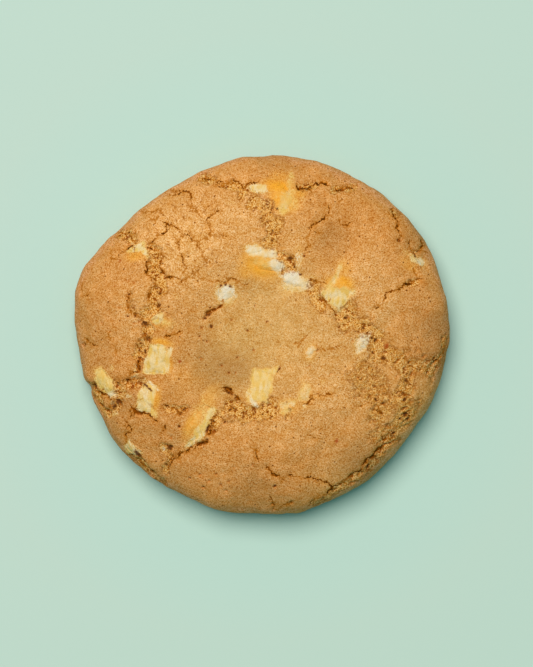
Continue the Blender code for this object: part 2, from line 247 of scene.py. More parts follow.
# thin cracks: strength, points of its route
cracks = (
    (0.8, (-23.8, 35.2), (-22.2, 35.3), (-20.8, 35.5), (-18.8, 36.2), (-18, 35.9), (-17.6, 34.6)),
    (0.4, (-17.8, 33.6), (-17.8, 31.8), (-16.4, 31.2), (-15.5, 29.8)),
    (0.4, (-23.4, 36.5), (-21.6, 36.4)),
    (0.7, (-15.3, 39.4), (-14.8, 40), (-13, 39.6), (-12.2, 38.8), (-11.2, 38.4), (-9.9, 38.6)),
    (1, (-8.7, 37.9), (-7.4, 38.1), (-6.8, 38.8), (-5.8, 38.6), (-5.1, 37.8), (-4.9, 37), (-4, 36.9)),
    (0.6, (-4, 36.9), (-3.4, 37.9), (-2.2, 38.2), (-1.2, 38.3)),
    (0.6, (-11.5, 37.4), (-9.7, 37.3), (-8.9, 37.7)),
    (0.5, (-30.6, 31.2), (-28.4, 31.1), (-26.2, 31.6), (-25.2, 30.6), (-24.4, 30)),
    (0.4, (-27.8, 29.2), (-26.4, 29.2), (-26.5, 27.9)),
    (0.9, (-23.9, 28), (-23.2, 27.2), (-22.8, 27.8), (-21.8, 27.2), (-20.6, 26.5), (-20.2, 25.7),
     (-19, 25.2)),
    (0.8, (-19, 25.2), (-18, 24.9), (-17.6, 24.1), (-16.2, 23.5), (-14.8, 23.8), (-13.4, 24)),
    (0.7, (-27.7, 23.2), (-26.8, 24), (-25.8, 25.1), (-24.5, 25.3), (-23.7, 26.4)),
    (0.4, (-26.3, 26.8), (-26.4, 25.7), (-25.8, 25.1)),
    (0.6, (-12.9, 24.4), (-12.4, 26), (-13, 26.6), (-12.9, 27.9), (-13.8, 28.3), (-13.4, 29.6),
     (-11, 31.3)),
    (0.6, (-13.5, 31.9), (-12.8, 32.3), (-11.8, 33.3), (-11.2, 33.3)),
    (0.5, (-19, 25.2), (-20.3, 24.6), (-20.9, 23.2), (-20.7, 21.5), (-19.8, 19.8), (-19.6, 18),
     (-18.6, 16.7)),
    (0.7, (-17.3, 15.9), (-17.6, 14.7), (-18.7, 14), (-20, 13.3), (-21.8, 14.6), (-23.5, 14.4)),
    (0.4, (-15.6, 17), (-16, 15.8), (-15.9, 14.4), (-13.4, 14), (-11, 13.6), (-8, 14), (-5.4, 13.2),
     (-3.4, 12.9)),
    (0.9, (-35.8, 20), (-34.6, 20.8), (-33.4, 21.8), (-32, 22.8), (-31.6, 23.1)),
    (0.7, (-35.6, 26), (-34.8, 25.9), (-33.8, 26), (-33.2, 24.8), (-32.6, 24), (-31.8, 23.2)),
    (0.5, (-31.7, 26), (-31.8, 24.9)),
    (0.4, (-38, 21.3), (-37.9, 19.2), (-36.8, 19.1)),
    (0.9, (-28.3, 21.9), (-26.7, 21.2), (-25.2, 20.8), (-24.8, 19.4), (-25.4, 18.4), (-25.6, 17),
     (-24.6, 15.7)),
    (0.8, (-28.4, 18.3), (-28.6, 16.7), (-28.9, 15.6), (-28, 14.7), (-26.7, 14), (-26.5, 12.6),
     (-27.6, 11.2)),
    (0.6, (-27.6, 11.2), (-28.2, 9), (-27.8, 8), (-26, 7)),
    (0.7, (-43.7, -1.2), (-42.6, -2), (-41.2, -2.6)),
    (1, (8.9, 37.4), (9.4, 36.7), (10.5, 37), (11.8, 36.8), (12.9, 37.7), (13.3, 38.3), (14.4, 38),
     (16.6, 37.7)),
    (1, (18.2, 36.3), (19.4, 36.4), (20.2, 37), (21.4, 37), (22.8, 37.2), (23.4, 37.7)),
    (0.3, (18.6, 36), (18.9, 34.8), (19.2, 33.4)),
    (0.9, (16.9, 31.8), (16.6, 30.6), (16, 29.4), (14.8, 28.6), (14, 28.1), (12.6, 27.4), (12, 26.6)),
    (0.3, (12, 26.6), (11.4, 24.4), (11.8, 22.8)),
    (0.5, (11.9, 22.2), (11, 21.4)),
    (0.6, (13.8, 25.6), (15, 25.5)),
    (0.6, (19.4, 29.2), (19.6, 28.2), (20.6, 27.6), (21.7, 27.6), (22.2, 28.2)),
    (0.9, (33.1, 31.8), (33.3, 30.4), (33.8, 29.2), (34.2, 28), (33.8, 26.8), (34.4, 25.8), (34.6, 23.8)),
    (1.1, (40.5, 23.9), (40.5, 22.1), (39.5, 21.1), (38.4, 21.2), (38.1, 20.6), (38.6, 19.6)),
    (0.8, (37.2, 23.2), (37.2, 22), (38.1, 20.6)),
    (1, (39.6, 14.1), (38.6, 13.8), (38.2, 13), (36.8, 12.7), (35.6, 12.8), (35.3, 11.9), (34, 11.4)),
    (0.7, (34, 11.4), (32.4, 11.1), (31, 10.6), (31, 9.4), (30.4, 8.6), (30, 7.6), (28.6, 6.8)),
    (0.4, (38.1, 16.6), (38.7, 15.3), (39.6, 14.1)),
    (1.6, (31.6, -25.6), (30.9, -27), (30.2, -28.4), (28.8, -29.4), (27.6, -30.8), (25.9, -32.2)),
    (1, (25.9, -32.2), (24.6, -34.6), (22.8, -35.2), (21.4, -36.2), (20, -37.2), (18.6, -38),
     (16.4, -40.4)),
    (0.5, (16.4, -40.4), (14.5, -41), (13, -42), (12, -42.9)),
    (1, (1.5, -33), (2.3, -33.8), (2.5, -34.8), (3.5, -35.2), (4.8, -35.7), (5.4, -36.2)),
    (0.8, (7.2, -35), (9, -35.2), (11, -35.8), (12.8, -35.9), (14.4, -36.3), (16.6, -37), (17.4, -38)),
    (0.7, (-1.4, -28.7), (-1.3, -29.8), (-0.9, -31)),
    (0.7, (2.4, -41), (2.8, -42.4), (3.2, -43.8)),
    (0.45, (3.8, -44), (5.4, -42.8), (6.6, -42.2), (7.8, -42.3)),
    (0.6, (-33, 10.4), (-33.3, 9), (-33.4, 7.4), (-32.6, 6), (-31.5, 5.1)),
    (0.5, (-45.2, 12.6), (-44.9, 10.2), (-43.8, 9.9), (-43.2, 10.4)),
    (0.9, (12.8, -15.2), (13.4, -14.8), (14.6, -14.9), (17, -14.8)),
    (0.8, (12.3, -15.8), (11.8, -16.6), (11, -17.2)),
    (0.4, (23, -17.5), (25.5, -17.4)),
    (0.5, (12, -24.8), (13.6, -25.8)),
    (0.7, (28, -19), (29.2, -19.2), (30.2, -19.6)),
    (0.9, (12, 13.6), (13.4, 13.4), (15.8, 13)),
    (0.8, (5.2, 16.4), (5.3, 15.2)),
    (0.9, (-13.6, 5.6), (-12.4, 6.2), (-11.2, 6.4), (-10.4, 7.1), (-9.8, 7.4)),
    (1.2, (-30.7, -6.2), (-31, -7.2), (-30.6, -9), (-31.6, -9.2), (-32.7, -9.8)),
    (1, (-34, -11.9), (-32.8, -11.2), (-31.6, -10.5)),
    (1.2, (-32.4, -18.2), (-31.4, -19.6), (-30, -19.7), (-28.4, -19.7), (-27.4, -20.8), (-26.4, -21.4)),
    (0.8, (-32.4, -18.2), (-32.7, -20.2)),
    (0.7, (-23.6, -0.2), (-22, 0), (-21.2, 0.2), (-20.4, 0.8)),
    (0.9, (-11.8, -20.4), (-12.5, -21.8), (-12.8, -23.4), (-13.2, -24.8)),
    (1, (-16.4, -27.6), (-15.2, -27.4), (-13.6, -26.8)),
    (1.3, (-9, -13.2), (-8.2, -13.2), (-7.4, -14.2), (-6.6, -15), (-5.8, -15.8)),
    (0.8, (-23.8, -17.7), (-22.8, -18.3), (-21.4, -18.6), (-20.4, -19.4)),
    (0.7, (-19.2, -29.2), (-20.6, -29.6), (-22.2, -30.6), (-23.2, -31.6)),
    (1, (-33.8, -22), (-33, -23.2), (-32.6, -24), (-33, -24.6), (-34, -24.8), (-33.8, -26.4)),
    (0.8, (-24, -22.8), (-24.4, -23.8), (-24.8, -24.2)),
    (0.9, (-34.8, -30), (-33, -30.4), (-31.4, -31.6), (-30.2, -32.8), (-29.4, -33.6)),
    (0.8, (-41.9, -12.4), (-41.4, -14.2), (-39.8, -15), (-38.4, -15.2), (-37.8, -16.6)),
    (0.3, (-38, 1), (-37.4, -1.6), (-36.7, -4.7)),
    (0.5, (8.4, -2), (9.6, -2), (10.6, -1), (11.4, -0.1)),
    (0.3, (13.9, -2.4), (16.2, -3.8), (18.8, -2.8), (21, -3)),
    (0.6, (18.2, 6), (17.2, 7.4), (15.4, 9.2)),
    (1.2, (46.3, -3.6), (45.2, -5.6), (43.6, -7.2), (42, -8.8)),
    (0.4, (-16.2, 23.5), (-15.4, 21.4), (-14.8, 19.8), (-13.8, 18.4), (-12.9, 18.1)),
    (0.35, (-11.3, 25.4), (-10.2, 25.3), (-9, 24.8)),
    (0.9, (-17.6, -28), (-19.2, -29.4), (-21, -31), (-22.6, -32), (-23.6, -33.8)),
)

splitSizes = {
    "bends": ((1.6, 0.35), (0.7, 0.25)),    # spacing of the noise, how far it bends an edge
    "footHeight": 8,
    "footFade": 7,
    "lumps": ((1.3, 0.5), (0.7, 0.6)),      # spacing and share of the crumb's lumps
    "lumpRise": 0.32,
    "pitDepth": 0.35,
    "pitEdge": (0.1, 0.4),          # how low the lumps are where a pit starts and where it is full
    "tearOpening": (0.5, 1, 3.2),   # least width, how much the noise adds, its spacing
    "tearDip": (0.4, 1.3),          # where a tear's floor ends and where its slope does, 1 at its edge
    "tearCrumb": (0.5, 1.5),        # the same for the crumb that shows
    "crackOpening": (0.35, 1.3, 2.2),
    "crackDips": ((0.4, 0.1), (1, 0.1)),    # half width, depth
    "jag": 0.24,            # sideways kink of a crack as a share of the stretch it kinks
    "jagStep": 0.7,         # shortest stretch of a crack
    "twigs": 0.25,          # twigs for each millimetre of crack
    "twigLength": 1.8,      # of the longest
    "twigShare": 0.3,       # length of the shortest, as a share of that
    "twigStrength": 0.45,   # share of its crack's strength
    "fade": 0.6,            # from where a crack's marks fade beside it
    "reach": 1.4,           # how far they are kept
    "seed": 11,
}


def offStretch(spots, start, end):
    # how each spot lies off the stretch from start to end, as if that ran to the right
    turned = (spots - start) / (end - start)
    return (turned - np.clip(turned.real, 0, 1)) * abs(end - start)


def jaggedRoute(points, rng):
    # a route kinked at ever shorter stretches, as a brittle crust breaks
    while max(abs(end - start) for start, end in zip(points, points[1:])) > splitSizes["jagStep"]:
        kinked = [points[0]]
        for start, end in zip(points, points[1:]):
            if abs(end - start) > splitSizes["jagStep"]:
                kink = rng.uniform(-splitSizes["jag"], splitSizes["jag"])
                kinked.append((start + end) / 2 + 1j * kink * (end - start))
            kinked.append(end)
        points = kinked
    return points


def crackRoutes():
    # every crack and its twigs
    rng = random.Random(splitSizes["seed"])
    routes = []
    for strength, *route in cracks:
        points = jaggedRoute([complex(*point) for point in route], rng)
        routes.append((strength, points))
        length = sum(abs(end - start) for start, end in zip(points, points[1:]))
        for _ in range(round(length * splitSizes["twigs"])):
            start = rng.choice(points)
            reach = splitSizes["twigLength"] * rng.uniform(splitSizes["twigShare"], 1)
            angle = rng.uniform(0, 2 * math.pi)
            end = start + reach * complex(math.cos(angle), math.sin(angle))
            routes.append((strength * splitSizes["twigStrength"], jaggedRoute([start, end], rng)))
    return routes


def openingAt(places, sizes):
    # how far a split gapes at each place
    least, added, spacing = sizes
    return least + added * np.clip(0.5 + noiseAt(places, spacing, noiseShifts["openings"]), 0, 1)


def crackFields(places):
    # how far the cracks sink the crust, their strength beside them and the distance to their middle,
    # with a sign for its side, so that the shader finds the middle between the mesh's points
    spots = places[:, 0] + 1j * places[:, 1]
    nearest = np.full(len(places), splitSizes["reach"])
    side = nearest.copy()
    strengths = np.zeros(len(places))
    for strength, points in crackRoutes():
        for start, end in zip(points, points[1:]):
            middle = (start + end) / 2
            near = nearRows(places, middle.real, middle.imag, abs(end - start) / 2 + splitSizes["reach"])
            away = offStretch(spots[near], start, end)
            distance = np.abs(away)
            closer = distance < nearest[near]
            rows = near[closer]
            nearest[rows] = distance[closer]
            side[rows] = distance[closer] * np.where(away.imag[closer] < 0, -1, 1)
            strengths[rows] = strength
    split = strengths * openingAt(places, splitSizes["crackOpening"])
    split *= 1 - smoothStep(splitSizes["fade"], splitSizes["reach"], nearest)
    dip = sum(depth * np.exp(-(nearest / width) ** 2) for width, depth in splitSizes["crackDips"])
    return split * dip, side, split


def tearFields(points, places):
    # how far the tears sink the crust, and how much crumb they show
    opening = openingAt(places, splitSizes["tearOpening"])
    spots = points[:, 0] + 1j * points[:, 1]
    sink = np.zeros(len(points))
    crumb = np.zeros(len(points))
    for halfWidth, depth, crumbShare, *route in tears:
        route = [complex(*point) for point in route]
        away = [np.abs(offStretch(spots, start, end)) for start, end in zip(route, route[1:])]
        distance = np.min(away, axis=0) / (halfWidth * opening)
        sink = np.maximum(sink, depth * (1 - smoothStep(*splitSizes["tearDip"], distance)))
        crumb = np.maximum(crumb, crumbShare * (1 - smoothStep(*splitSizes["tearCrumb"], distance)))
    return sink, crumb


# holes in the crust: x, y, length, width, depth, and the turn of those that lie aslant
holes = (
    (-25.3, 10.3, 1.3, 0.9, 0.7, -30), (-26.2, 12.4, 1.4, 0.8, 0.6, 50), (-25.6, 7.4, 1.1, 0.9, 0.8),
    (-24.9, 15.7, 1.2, 0.6, 0.7, -10), (-23.8, 14.5, 0.9, 0.6, 0.6), (-28.5, 16.7, 0.9, 0.7, 0.5),
    (-33, 10.2, 1.1, 0.5, 0.7, 20), (-33.2, 7.8, 0.6, 1.2, 0.5), (-31.6, 5, 0.8, 1, 0.8),
    (-29.2, 2.9, 1.7, 1.1, 1.2, -20), (-30.5, 3.4, 1.2, 0.8, 0.6, 40), (-28.6, -0.8, 2.6, 2.2, 0.6, 60),
    (-29.1, -4.2, 0.8, 1.1, 0.9), (-30.2, -2.2, 1.2, 0.5, 0.7, 10), (-30.6, -3.8, 0.8, 1.4, 0.6, 20),
    (-30.8, -8, 0.9, 2.4, 1.3, 10), (-30.8, -12, 3.4, 2.2, 0.3, -15), (-36.2, -11.8, 2.8, 1.3, 0.45, -50),
    (-33, -11.2, 2.4, 1.2, 0.5, 20), (-28.9, -12.5, 1.8, 0.35, 1, -38), (-27.8, -13.5, 1.6, 0.35, 1, -32),
    (-36, -16.8, 2.2, 1.8, 0.8, -30), (-37.2, -18.1, 1.6, 1.1, 0.8, 40), (-30.6, -19.8, 1.6, 0.8, 1.2, -10),
    (-42.4, -13, 1.3, 1.4, 1.4), (-40.6, -17.6, 0.9, 0.8, 0.6), (-8.2, -14, 2.6, 1, 1.5, -42),
    (-6.2, -15.8, 1.4, 0.8, 0.8, -30), (-7.2, -18, 1.4, 2.4, 0.5), (-7.8, -18.8, 0.7, 0.8, 0.9),
    (-13.5, -23.5, 0.6, 2.5, 1.3, -18), (-15, -27.2, 2.4, 0.7, 1.2, 8), (-13.6, -26.4, 0.9, 0.8, 0.7, 10),
    (-19.3, -18.5, 1.9, 1.1, 0.55, 30), (-20.4, -19.6, 1, 0.6, 1.1, 20), (-9.2, -21.8, 0.9, 0.7, 0.6),
    (-11.9, -21.7, 1, 0.9, 0.7), (-22.9, -28.2, 1.7, 1.4, 0.75), (-24, -32.7, 0.6, 0.8, 0.8),
    (-22.3, -30.6, 0.7, 0.5, 0.6), (-31.1, -29.9, 2.2, 0.8, 1.6, -50), (-30.2, -33, 1.4, 0.7, 1, -45),
    (-27.8, -34.8, 1.6, 0.6, 0.9, -35), (-44.8, -2.4, 1, 1.1, 0.7), (-37.4, 22.7, 0.6, 0.5, 0.5),
    (-33.2, 22.6, 0.6, 0.5, 0.5), (7.2, 19.3, 1.6, 1.2, 0.9, 40), (8.3, 17.3, 0.4, 0.8, 0.8),
    (9.9, 15.2, 0.9, 0.5, 1, -30), (6.8, 17, 1, 1, 0.5), (10.7, 19.7, 0.5, 0.5, 0.7),
    (2.6, 23.8, 1.3, 1, 0.6, 40), (12.5, 12.6, 1, 0.9, 0.6), (-10.1, 12.2, 0.8, 0.5, 0.9, 40),
    (-8.9, 12.7, 0.6, 0.8, 0.9), (-7.7, 12.1, 0.9, 0.4, 0.8, -25), (-13.3, 5.4, 1.7, 1.1, 1.3, 50),
    (-14.2, 4.2, 0.8, 0.6, 1, 40), (-11.8, 6.3, 1.2, 0.7, 1.1, 30), (-10.3, 7.2, 1.1, 0.6, 1.1, 25),
    (-12.7, 6.8, 0.4, 0.4, 0.8), (-15, 1.9, 0.5, 0.5, 0.9), (-12.6, 2.1, 0.8, 1.1, 0.8, 20),
    (1.2, 33.6, 0.8, 0.6, 0.5), (3.8, 31.5, 0.8, 0.8, 0.5), (0.9, 31.5, 0.6, 0.5, 0.5),
    (2.4, 31, 0.8, 1.4, 0.6, -30), (-2.1, 31, 0.8, 0.5, 0.5), (3.6, 28.8, 1.1, 0.5, 0.6, -30),
    (4.8, 29, 1, 0.6, 0.6, 20), (2.8, 26.1, 0.7, 0.9, 0.6), (4.3, 25.9, 0.4, 0.4, 0.7),
    (0.1, 29.1, 0.6, 0.9, 0.4, -40), (9.4, 36.8, 1, 0.6, 0.7, -40), (20.6, 37, 1.4, 0.6, 0.7),
    (34.5, 30.9, 0.9, 0.7, 0.6), (34.6, 23.8, 0.8, 0.9, 0.9), (40.5, 23.8, 0.6, 0.7, 0.6),
    (40.6, 22.4, 0.6, 0.7, 0.6), (21, 4.2, 1.1, 0.7, 0.9), (19.5, 2, 0.6, 0.5, 0.6),
    (21.4, 0.8, 0.6, 1, 0.6), (25.5, 1.6, 0.9, 0.8, 0.7, 40), (24.2, 0.8, 0.8, 0.8, 0.6),
    (28.4, -1.4, 0.8, 1.2, 0.8, -30), (22.6, -1.4, 0.5, 0.6, 0.5), (28, -4.3, 0.7, 0.8, 0.9),
    (30.5, -5.8, 1.2, 1.2, 0.9), (24, 6.8, 0.5, 0.5, 0.5), (35.8, -4.7, 1.3, 0.6, 0.6, -20),
    (37, -6.8, 1, 0.6, 0.7, 40), (40.7, -5.3, 1.3, 0.7, 0.6, 30), (36.4, -9.9, 0.8, 0.8, 0.6),
    (36.4, -11.6, 1.7, 1.4, 0.6), (33.8, -10.4, 1.2, 0.5, 0.4, 10), (35.6, -14.6, 1.2, 0.7, 0.6, -20),
    (36, -16.2, 0.8, 1.6, 0.8, -40), (24.2, -10.7, 0.6, 0.5, 1), (28.2, -12.9, 0.6, 0.5, 0.9),
    (29.8, -13, 0.5, 0.5, 0.9), (27, -15.3, 0.6, 0.5, 1), (28.7, -16.3, 1.2, 0.6, 0.8, -30),
    (30.4, -17.1, 0.9, 0.7, 0.7), (30, -19.5, 0.9, 0.6, 0.8), (36.2, -20, 1, 1.3, 0.9, 30),
    (37, -21.2, 1.1, 0.9, 0.9, -30), (35, -21.2, 1, 0.6, 0.8, 40), (31.5, -22.8, 0.8, 0.9, 0.7),
    (33.6, -23.3, 0.6, 0.7, 0.6), (33.4, -24.7, 1, 0.5, 0.9, 30), (43, -15, 0.6, 0.5, 0.5),
    (26.9, -33.2, 0.7, 1.2, 1.1, -20), (18.1, -39.3, 0.8, 0.6, 0.8, 20), (28.1, -30.9, 1.4, 0.8, 0.9, 30),
    (22.5, -35.5, 1, 0.5, 0.9, 20), (3.4, -37.9, 0.6, 0.5, 1), (2.8, -42.6, 0.7, 0.6, 0.5),
    (7.6, -42, 0.8, 0.6, 0.5), (3, -43.9, 0.5, 1.2, 0.5), (0.5, -17.3, 0.8, 0.4, 0.6, 10),
    (0.3, -19.8, 0.7, 0.4, 0.7, 20), (3.6, -19.5, 0.5, 0.6, 0.7), (-2.7, -20.4, 0.5, 0.5, 0.7),
    (-4.4, -20.6, 0.6, 0.6, 0.6), (-1.7, -21.2, 1, 0.4, 0.6), (4.2, -8.7, 0.4, 0.5, 0.6),
    (3.9, -9.4, 0.5, 0.5, 0.5), (8.9, -11.2, 0.4, 0.4, 0.4), (11.9, -7.7, 0.5, 0.5, 0.5),
    (-17.8, 1.8, 0.4, 0.6, 0.5), (14, -3.8, 0.6, 1, 0.5), (-3.5, 1.2, 0.5, 0.5, 0.8),
    (-1.6, 7.3, 0.4, 0.5, 0.7), (1.3, 3.3, 0.5, 0.4, 0.7), (-1.9, -3.8, 0.8, 0.4, 0.8, -30),
    (-7.5, 3.8, 0.4, 0.6, 0.7), (-6, -5.5, 0.5, 0.4, 0.8), (-9.9, -7.6, 0.6, 0.5, 1, -30),
    (-8.1, -9.3, 0.5, 0.5, 0.8), (4.4, -8.4, 0.4, 0.9, 0.8, -20), (-15.5, -0.4, 0.5, 0.5, 0.7),
    (-13.6, -1.5, 0.5, 0.4, 0.8), (-15.1, -5.9, 0.6, 0.4, 0.7), (27.6, -0.6, 1, 0.7, 0.8, -30),
    (26.6, 0.4, 0.8, 0.6, 0.8), (-6.4, -9.4, 0.3, 0.4, 0.6), (17.4, -9.7, 0.3, 0.6, 0.5),
    (-36.5, 12.3, 0.4, 0.4, 0.5), (-35.3, 6.9, 0.4, 0.6, 0.6), (-36.4, 7.4, 0.5, 0.5, 0.5),
    (-40, 3.2, 0.4, 0.5, 0.5), (-37.9, 0.9, 0.4, 0.7, 0.5, 20), (-33.4, 4.7, 0.5, 0.5, 0.7),
    (-31.8, 13, 0.4, 0.6, 0.6), (-33.3, 13.5, 0.4, 0.5, 0.5), (-31.9, 2.9, 0.5, 0.5, 0.7),
    (-33.4, 7, 0.5, 1.1, 0.7), (-32.2, 6.8, 0.5, 0.4, 0.7), (-33.3, 9.1, 0.5, 0.5, 0.7),
    (-6.9, -33.1, 0.3, 0.5, 0.5), (-8.2, -36.7, 0.5, 0.3, 0.6, 20), (-8.8, -39, 0.6, 0.4, 0.5),
    (-2.3, -32.5, 0.3, 0.4, 0.6), (-18, -36, 0.5, 0.5, 0.7), (-15.4, -35, 0.5, 0.4, 0.7),
    (-13.2, -36.6, 0.6, 0.4, 0.7, 20), (-11.4, -34.8, 0.5, 0.4, 0.7), (-10.2, -37.6, 0.5, 0.5, 0.7),
    (-14.6, -38.2, 0.5, 0.4, 0.7), (-20.6, -22.9, 0.5, 0.7, 0.8), (-22.6, -25.6, 0.4, 0.5, 0.7),
)

holeSizes = {
    "margin": 1,            # how far round a hole its marks are looked for
    "hem": 0.2,             # how much wider a hole is than its row says
    "sink": 0.8,            # share of its depth by which it sinks the crust
    "dip": (0.3, 1.35),     # where its floor ends and where its slope does, 1 at its edge
    "shadeReach": 1.6,      # how far out it is dark, 1 at its edge
    "darkness": (0.85, 0.35),       # of a narrow one, and what each millimetre of depth adds
    "leastDepth": 1,        # depth that even the shallow ones are as dark as
    "litWidth": 1.7,        # light gets into the ones that are wider
    "litDepth": 0.7,        # and into those that are shallower
}


def holeFields(points):
    # how deep the holes are, and how much painted shade each place gets inside one
    sink = np.zeros(len(points))
    holeShade = np.zeros(len(points))
    hem = holeSizes["hem"]
    dark, darker = holeSizes["darkness"]
    for x, y, length, width, depth, *turn in holes:
        near = nearRows(points, x, y, max(length, width) + holeSizes["margin"])
        distance = ellipseShare(points[near], x, y, length + hem, width + hem, *turn)
        dip = holeSizes["sink"] * depth * (1 - smoothStep(*holeSizes["dip"], distance))
        sink[near] = np.maximum(sink[near], dip)
        lit = min(holeSizes["litWidth"] / min(length, width), depth / holeSizes["litDepth"])
        shade = min(dark + darker * max(depth, holeSizes["leastDepth"]), lit)
        holeShade[near] = np.maximum(holeShade[near], shade * (1 - distance / holeSizes["shadeReach"]))
    return sink, holeShade


# white chocolate chunks, as in the CAD model: x, y, length, width, turn, corners, widening
chunkPlaces = (
    (3.6, 34.9, 9.5, 7.2, -35, 5, -0.3),
    (-30.8, 20.5, 6, 4, 12, 5, -0.3),
    (1.1, 18.5, 9.5, 5.4, -18, 5, -0.2),
    (8.5, 13.8, 6.8, 4.2, -18, 6, -0.3),
    (-8.9, 10.6, 4.6, 4.4, 10, 6, 0),
    (19.1, 10.6, 7.4, 6.6, 50, 4, 0),
    (25.3, -1.9, 5.6, 3.4, 62, 5, 0.2),
    (38.8, 18.7, 5.6, 2.4, -38, 4, 0.3),
    (-23.9, 3.3, 6.2, 4.6, -35, 4, -0.3),
    (-26.2, -6.2, 7.8, 5.2, -97, 4, 0.6),
    (-39.3, -11.9, 7.6, 4.8, -54, 6, 0.1),
    (-28.5, -15.6, 8.2, 4.4, 72, 4, -0.1),
    (-15.9, -22.6, 12.4, 4.2, 58, 5, 0.4),
    (-0.1, -12.8, 9.2, 6.2, 80, 4, 0.15),
    (11, -14.3, 5, 3, 72, 4, 0.2),
    (12.3, -4.1, 3.2, 2.2, 55, 4, 0),
    (7, -18.2, 4.4, 2.6, 10, 4, 0.2),
    (-32.6, -28.5, 4.8, 3.8, -45, 4, 0.1),
)

# how each chunk shows: direction that the crust's film covers it from, how far from its middle the film
# starts (mm), softness of its edge in mm, how white it is, how bare it is
chunkLooks = (
    (0, 9, 0.6, 0.1, 0),
    (0, 9, 0.5, 0.1, 0),
    (0, 9, 0.5, 0.3, 0),
    (270, 9, 0.5, 0.7, 0),
    (270, 1.4, 1.1, 0.9, 0.75),
    (90, 0.3, 0.8, 0.22, 0.9),
    (-30, 1, 1, 0.9, 0.62),
    (0, 9, 0.4, 0.6, 0),
    (0, 9, 0.6, 0.1, 0),
    (0, 2.6, 0.5, 0.25, 1),
    (-60, 2.2, 0.6, 0, 0.82),
    (-10, 1.3, 0.6, 0.2, 0.88),
    (150, -1.1, 0.6, 0.15, 0.9),
    (40, 3.2, 0.7, 0.08, 0.76),
    (0, 0.8, 0.9, 0.3, 0.46),
    (150, 9, 0.6, 0.1, 0),
    (200, 9, 0.8, 0, 0),
    (45, 0.9, 0.6, 0.4, 0.62),
)

chunkSizes = {
    "thickness": 4,
    "proud": 0.25,          # lower than the bare model, as the crust laps over the edges
    "mostLift": 0.8,        # how far a chunk's top may bend to follow the crust
    "taper": 0.86,
    "jitter": 0.13,
    "seed": 4,
    "slopeProbe": 1.5,
    "cuts": 30,
    "rounding": ((0.5, 1.2), (0.16, 0.12)),     # width and depth at a hard edge, and what a soft one adds
    "smoothings": 4,
    "roughness": ((2.2, 0.16), (0.9, 0.08), (0.5, 0.03)),   # spacing and height
    "margin": 4,            # how far round a chunk its marks are looked for
    "bareBeyond": 0.25,     # how far the bare chocolate goes past the chunk's top
    "ragged": (0.7, 0.3),           # how far noise tears a hard edge, and how much further a soft one
    "edges": ((1.9, 0.5), (0.8, 0.4)),      # spacing of that noise and how strong it is
    "filmFade": 1.3,        # distance over which the film of crust thickens
    "filmCover": 0.75,
}


def chunkCorners(number, length, width, corners, widening):
    # corners of a chunk's outline about its own middle, as the CAD model draws them
    rng = random.Random(chunkSizes["seed"] + number)
    cornerAngle = 2 * math.pi / corners
    fill = 1 / math.cos(cornerAngle / 2)
    points = []
    for corner in range(corners):
        pull = 0.5 * fill * (1 + rng.uniform(-chunkSizes["jitter"], chunkSizes["jitter"]))
        angle = (corner + 0.5) * cornerAngle
        x, y = math.cos(angle), math.sin(angle)
        points.append(Vector((x * length * pull, y * width * pull * (1 + widening * x * 0.5))))
    return points


def chunkPlace(x, y, turn):
    probe = chunkSizes["slopeProbe"]
    right = crustAbove(x + probe, y) - crustAbove(x - probe, y)
    up = crustAbove(x, y + probe) - crustAbove(x, y - probe)
    normal = Vector(np.cross(right, up)[0]).normalized()
    tilt = Vector((0, 0, 1)).rotation_difference(normal).to_matrix().to_4x4()
    spin = Matrix.Rotation(math.radians(turn), 4, "Z")
    middle = Vector(crustAbove(x, y)[0])
    return Matrix.Translation(middle + normal * chunkSizes["proud"]) @ tilt @ spin


def topInset(points, chunk):
    # how far inside (+) the chunk's top each point lies
    corners = [corner * chunkSizes["taper"] for corner in chunk["corners"]]
    inset = np.full(len(points), np.inf)
    for start, end in zip(corners, corners[1:] + corners[:1]):
        run = (end - start).normalized()
        inset = np.minimum(inset, run.x * (points[:, 1] - start.y) - run.y * (points[:, 0] - start.x))
    return inset


chunks = []
for number, (row, look) in enumerate(zip(chunkPlaces, chunkLooks), start=1):
    x, y, length, width, turn, corners, widening = row
    chunks.append({
        "name": f"white_chocolate_{number:02d}",
        "corners": chunkCorners(number, length, width, corners, widening),
        "matrix": chunkPlace(x, y, turn),
        "turn": math.radians(turn),
        "reach": max(length, width),
        "look": look,
    })
print("chunks placed", len(chunks))


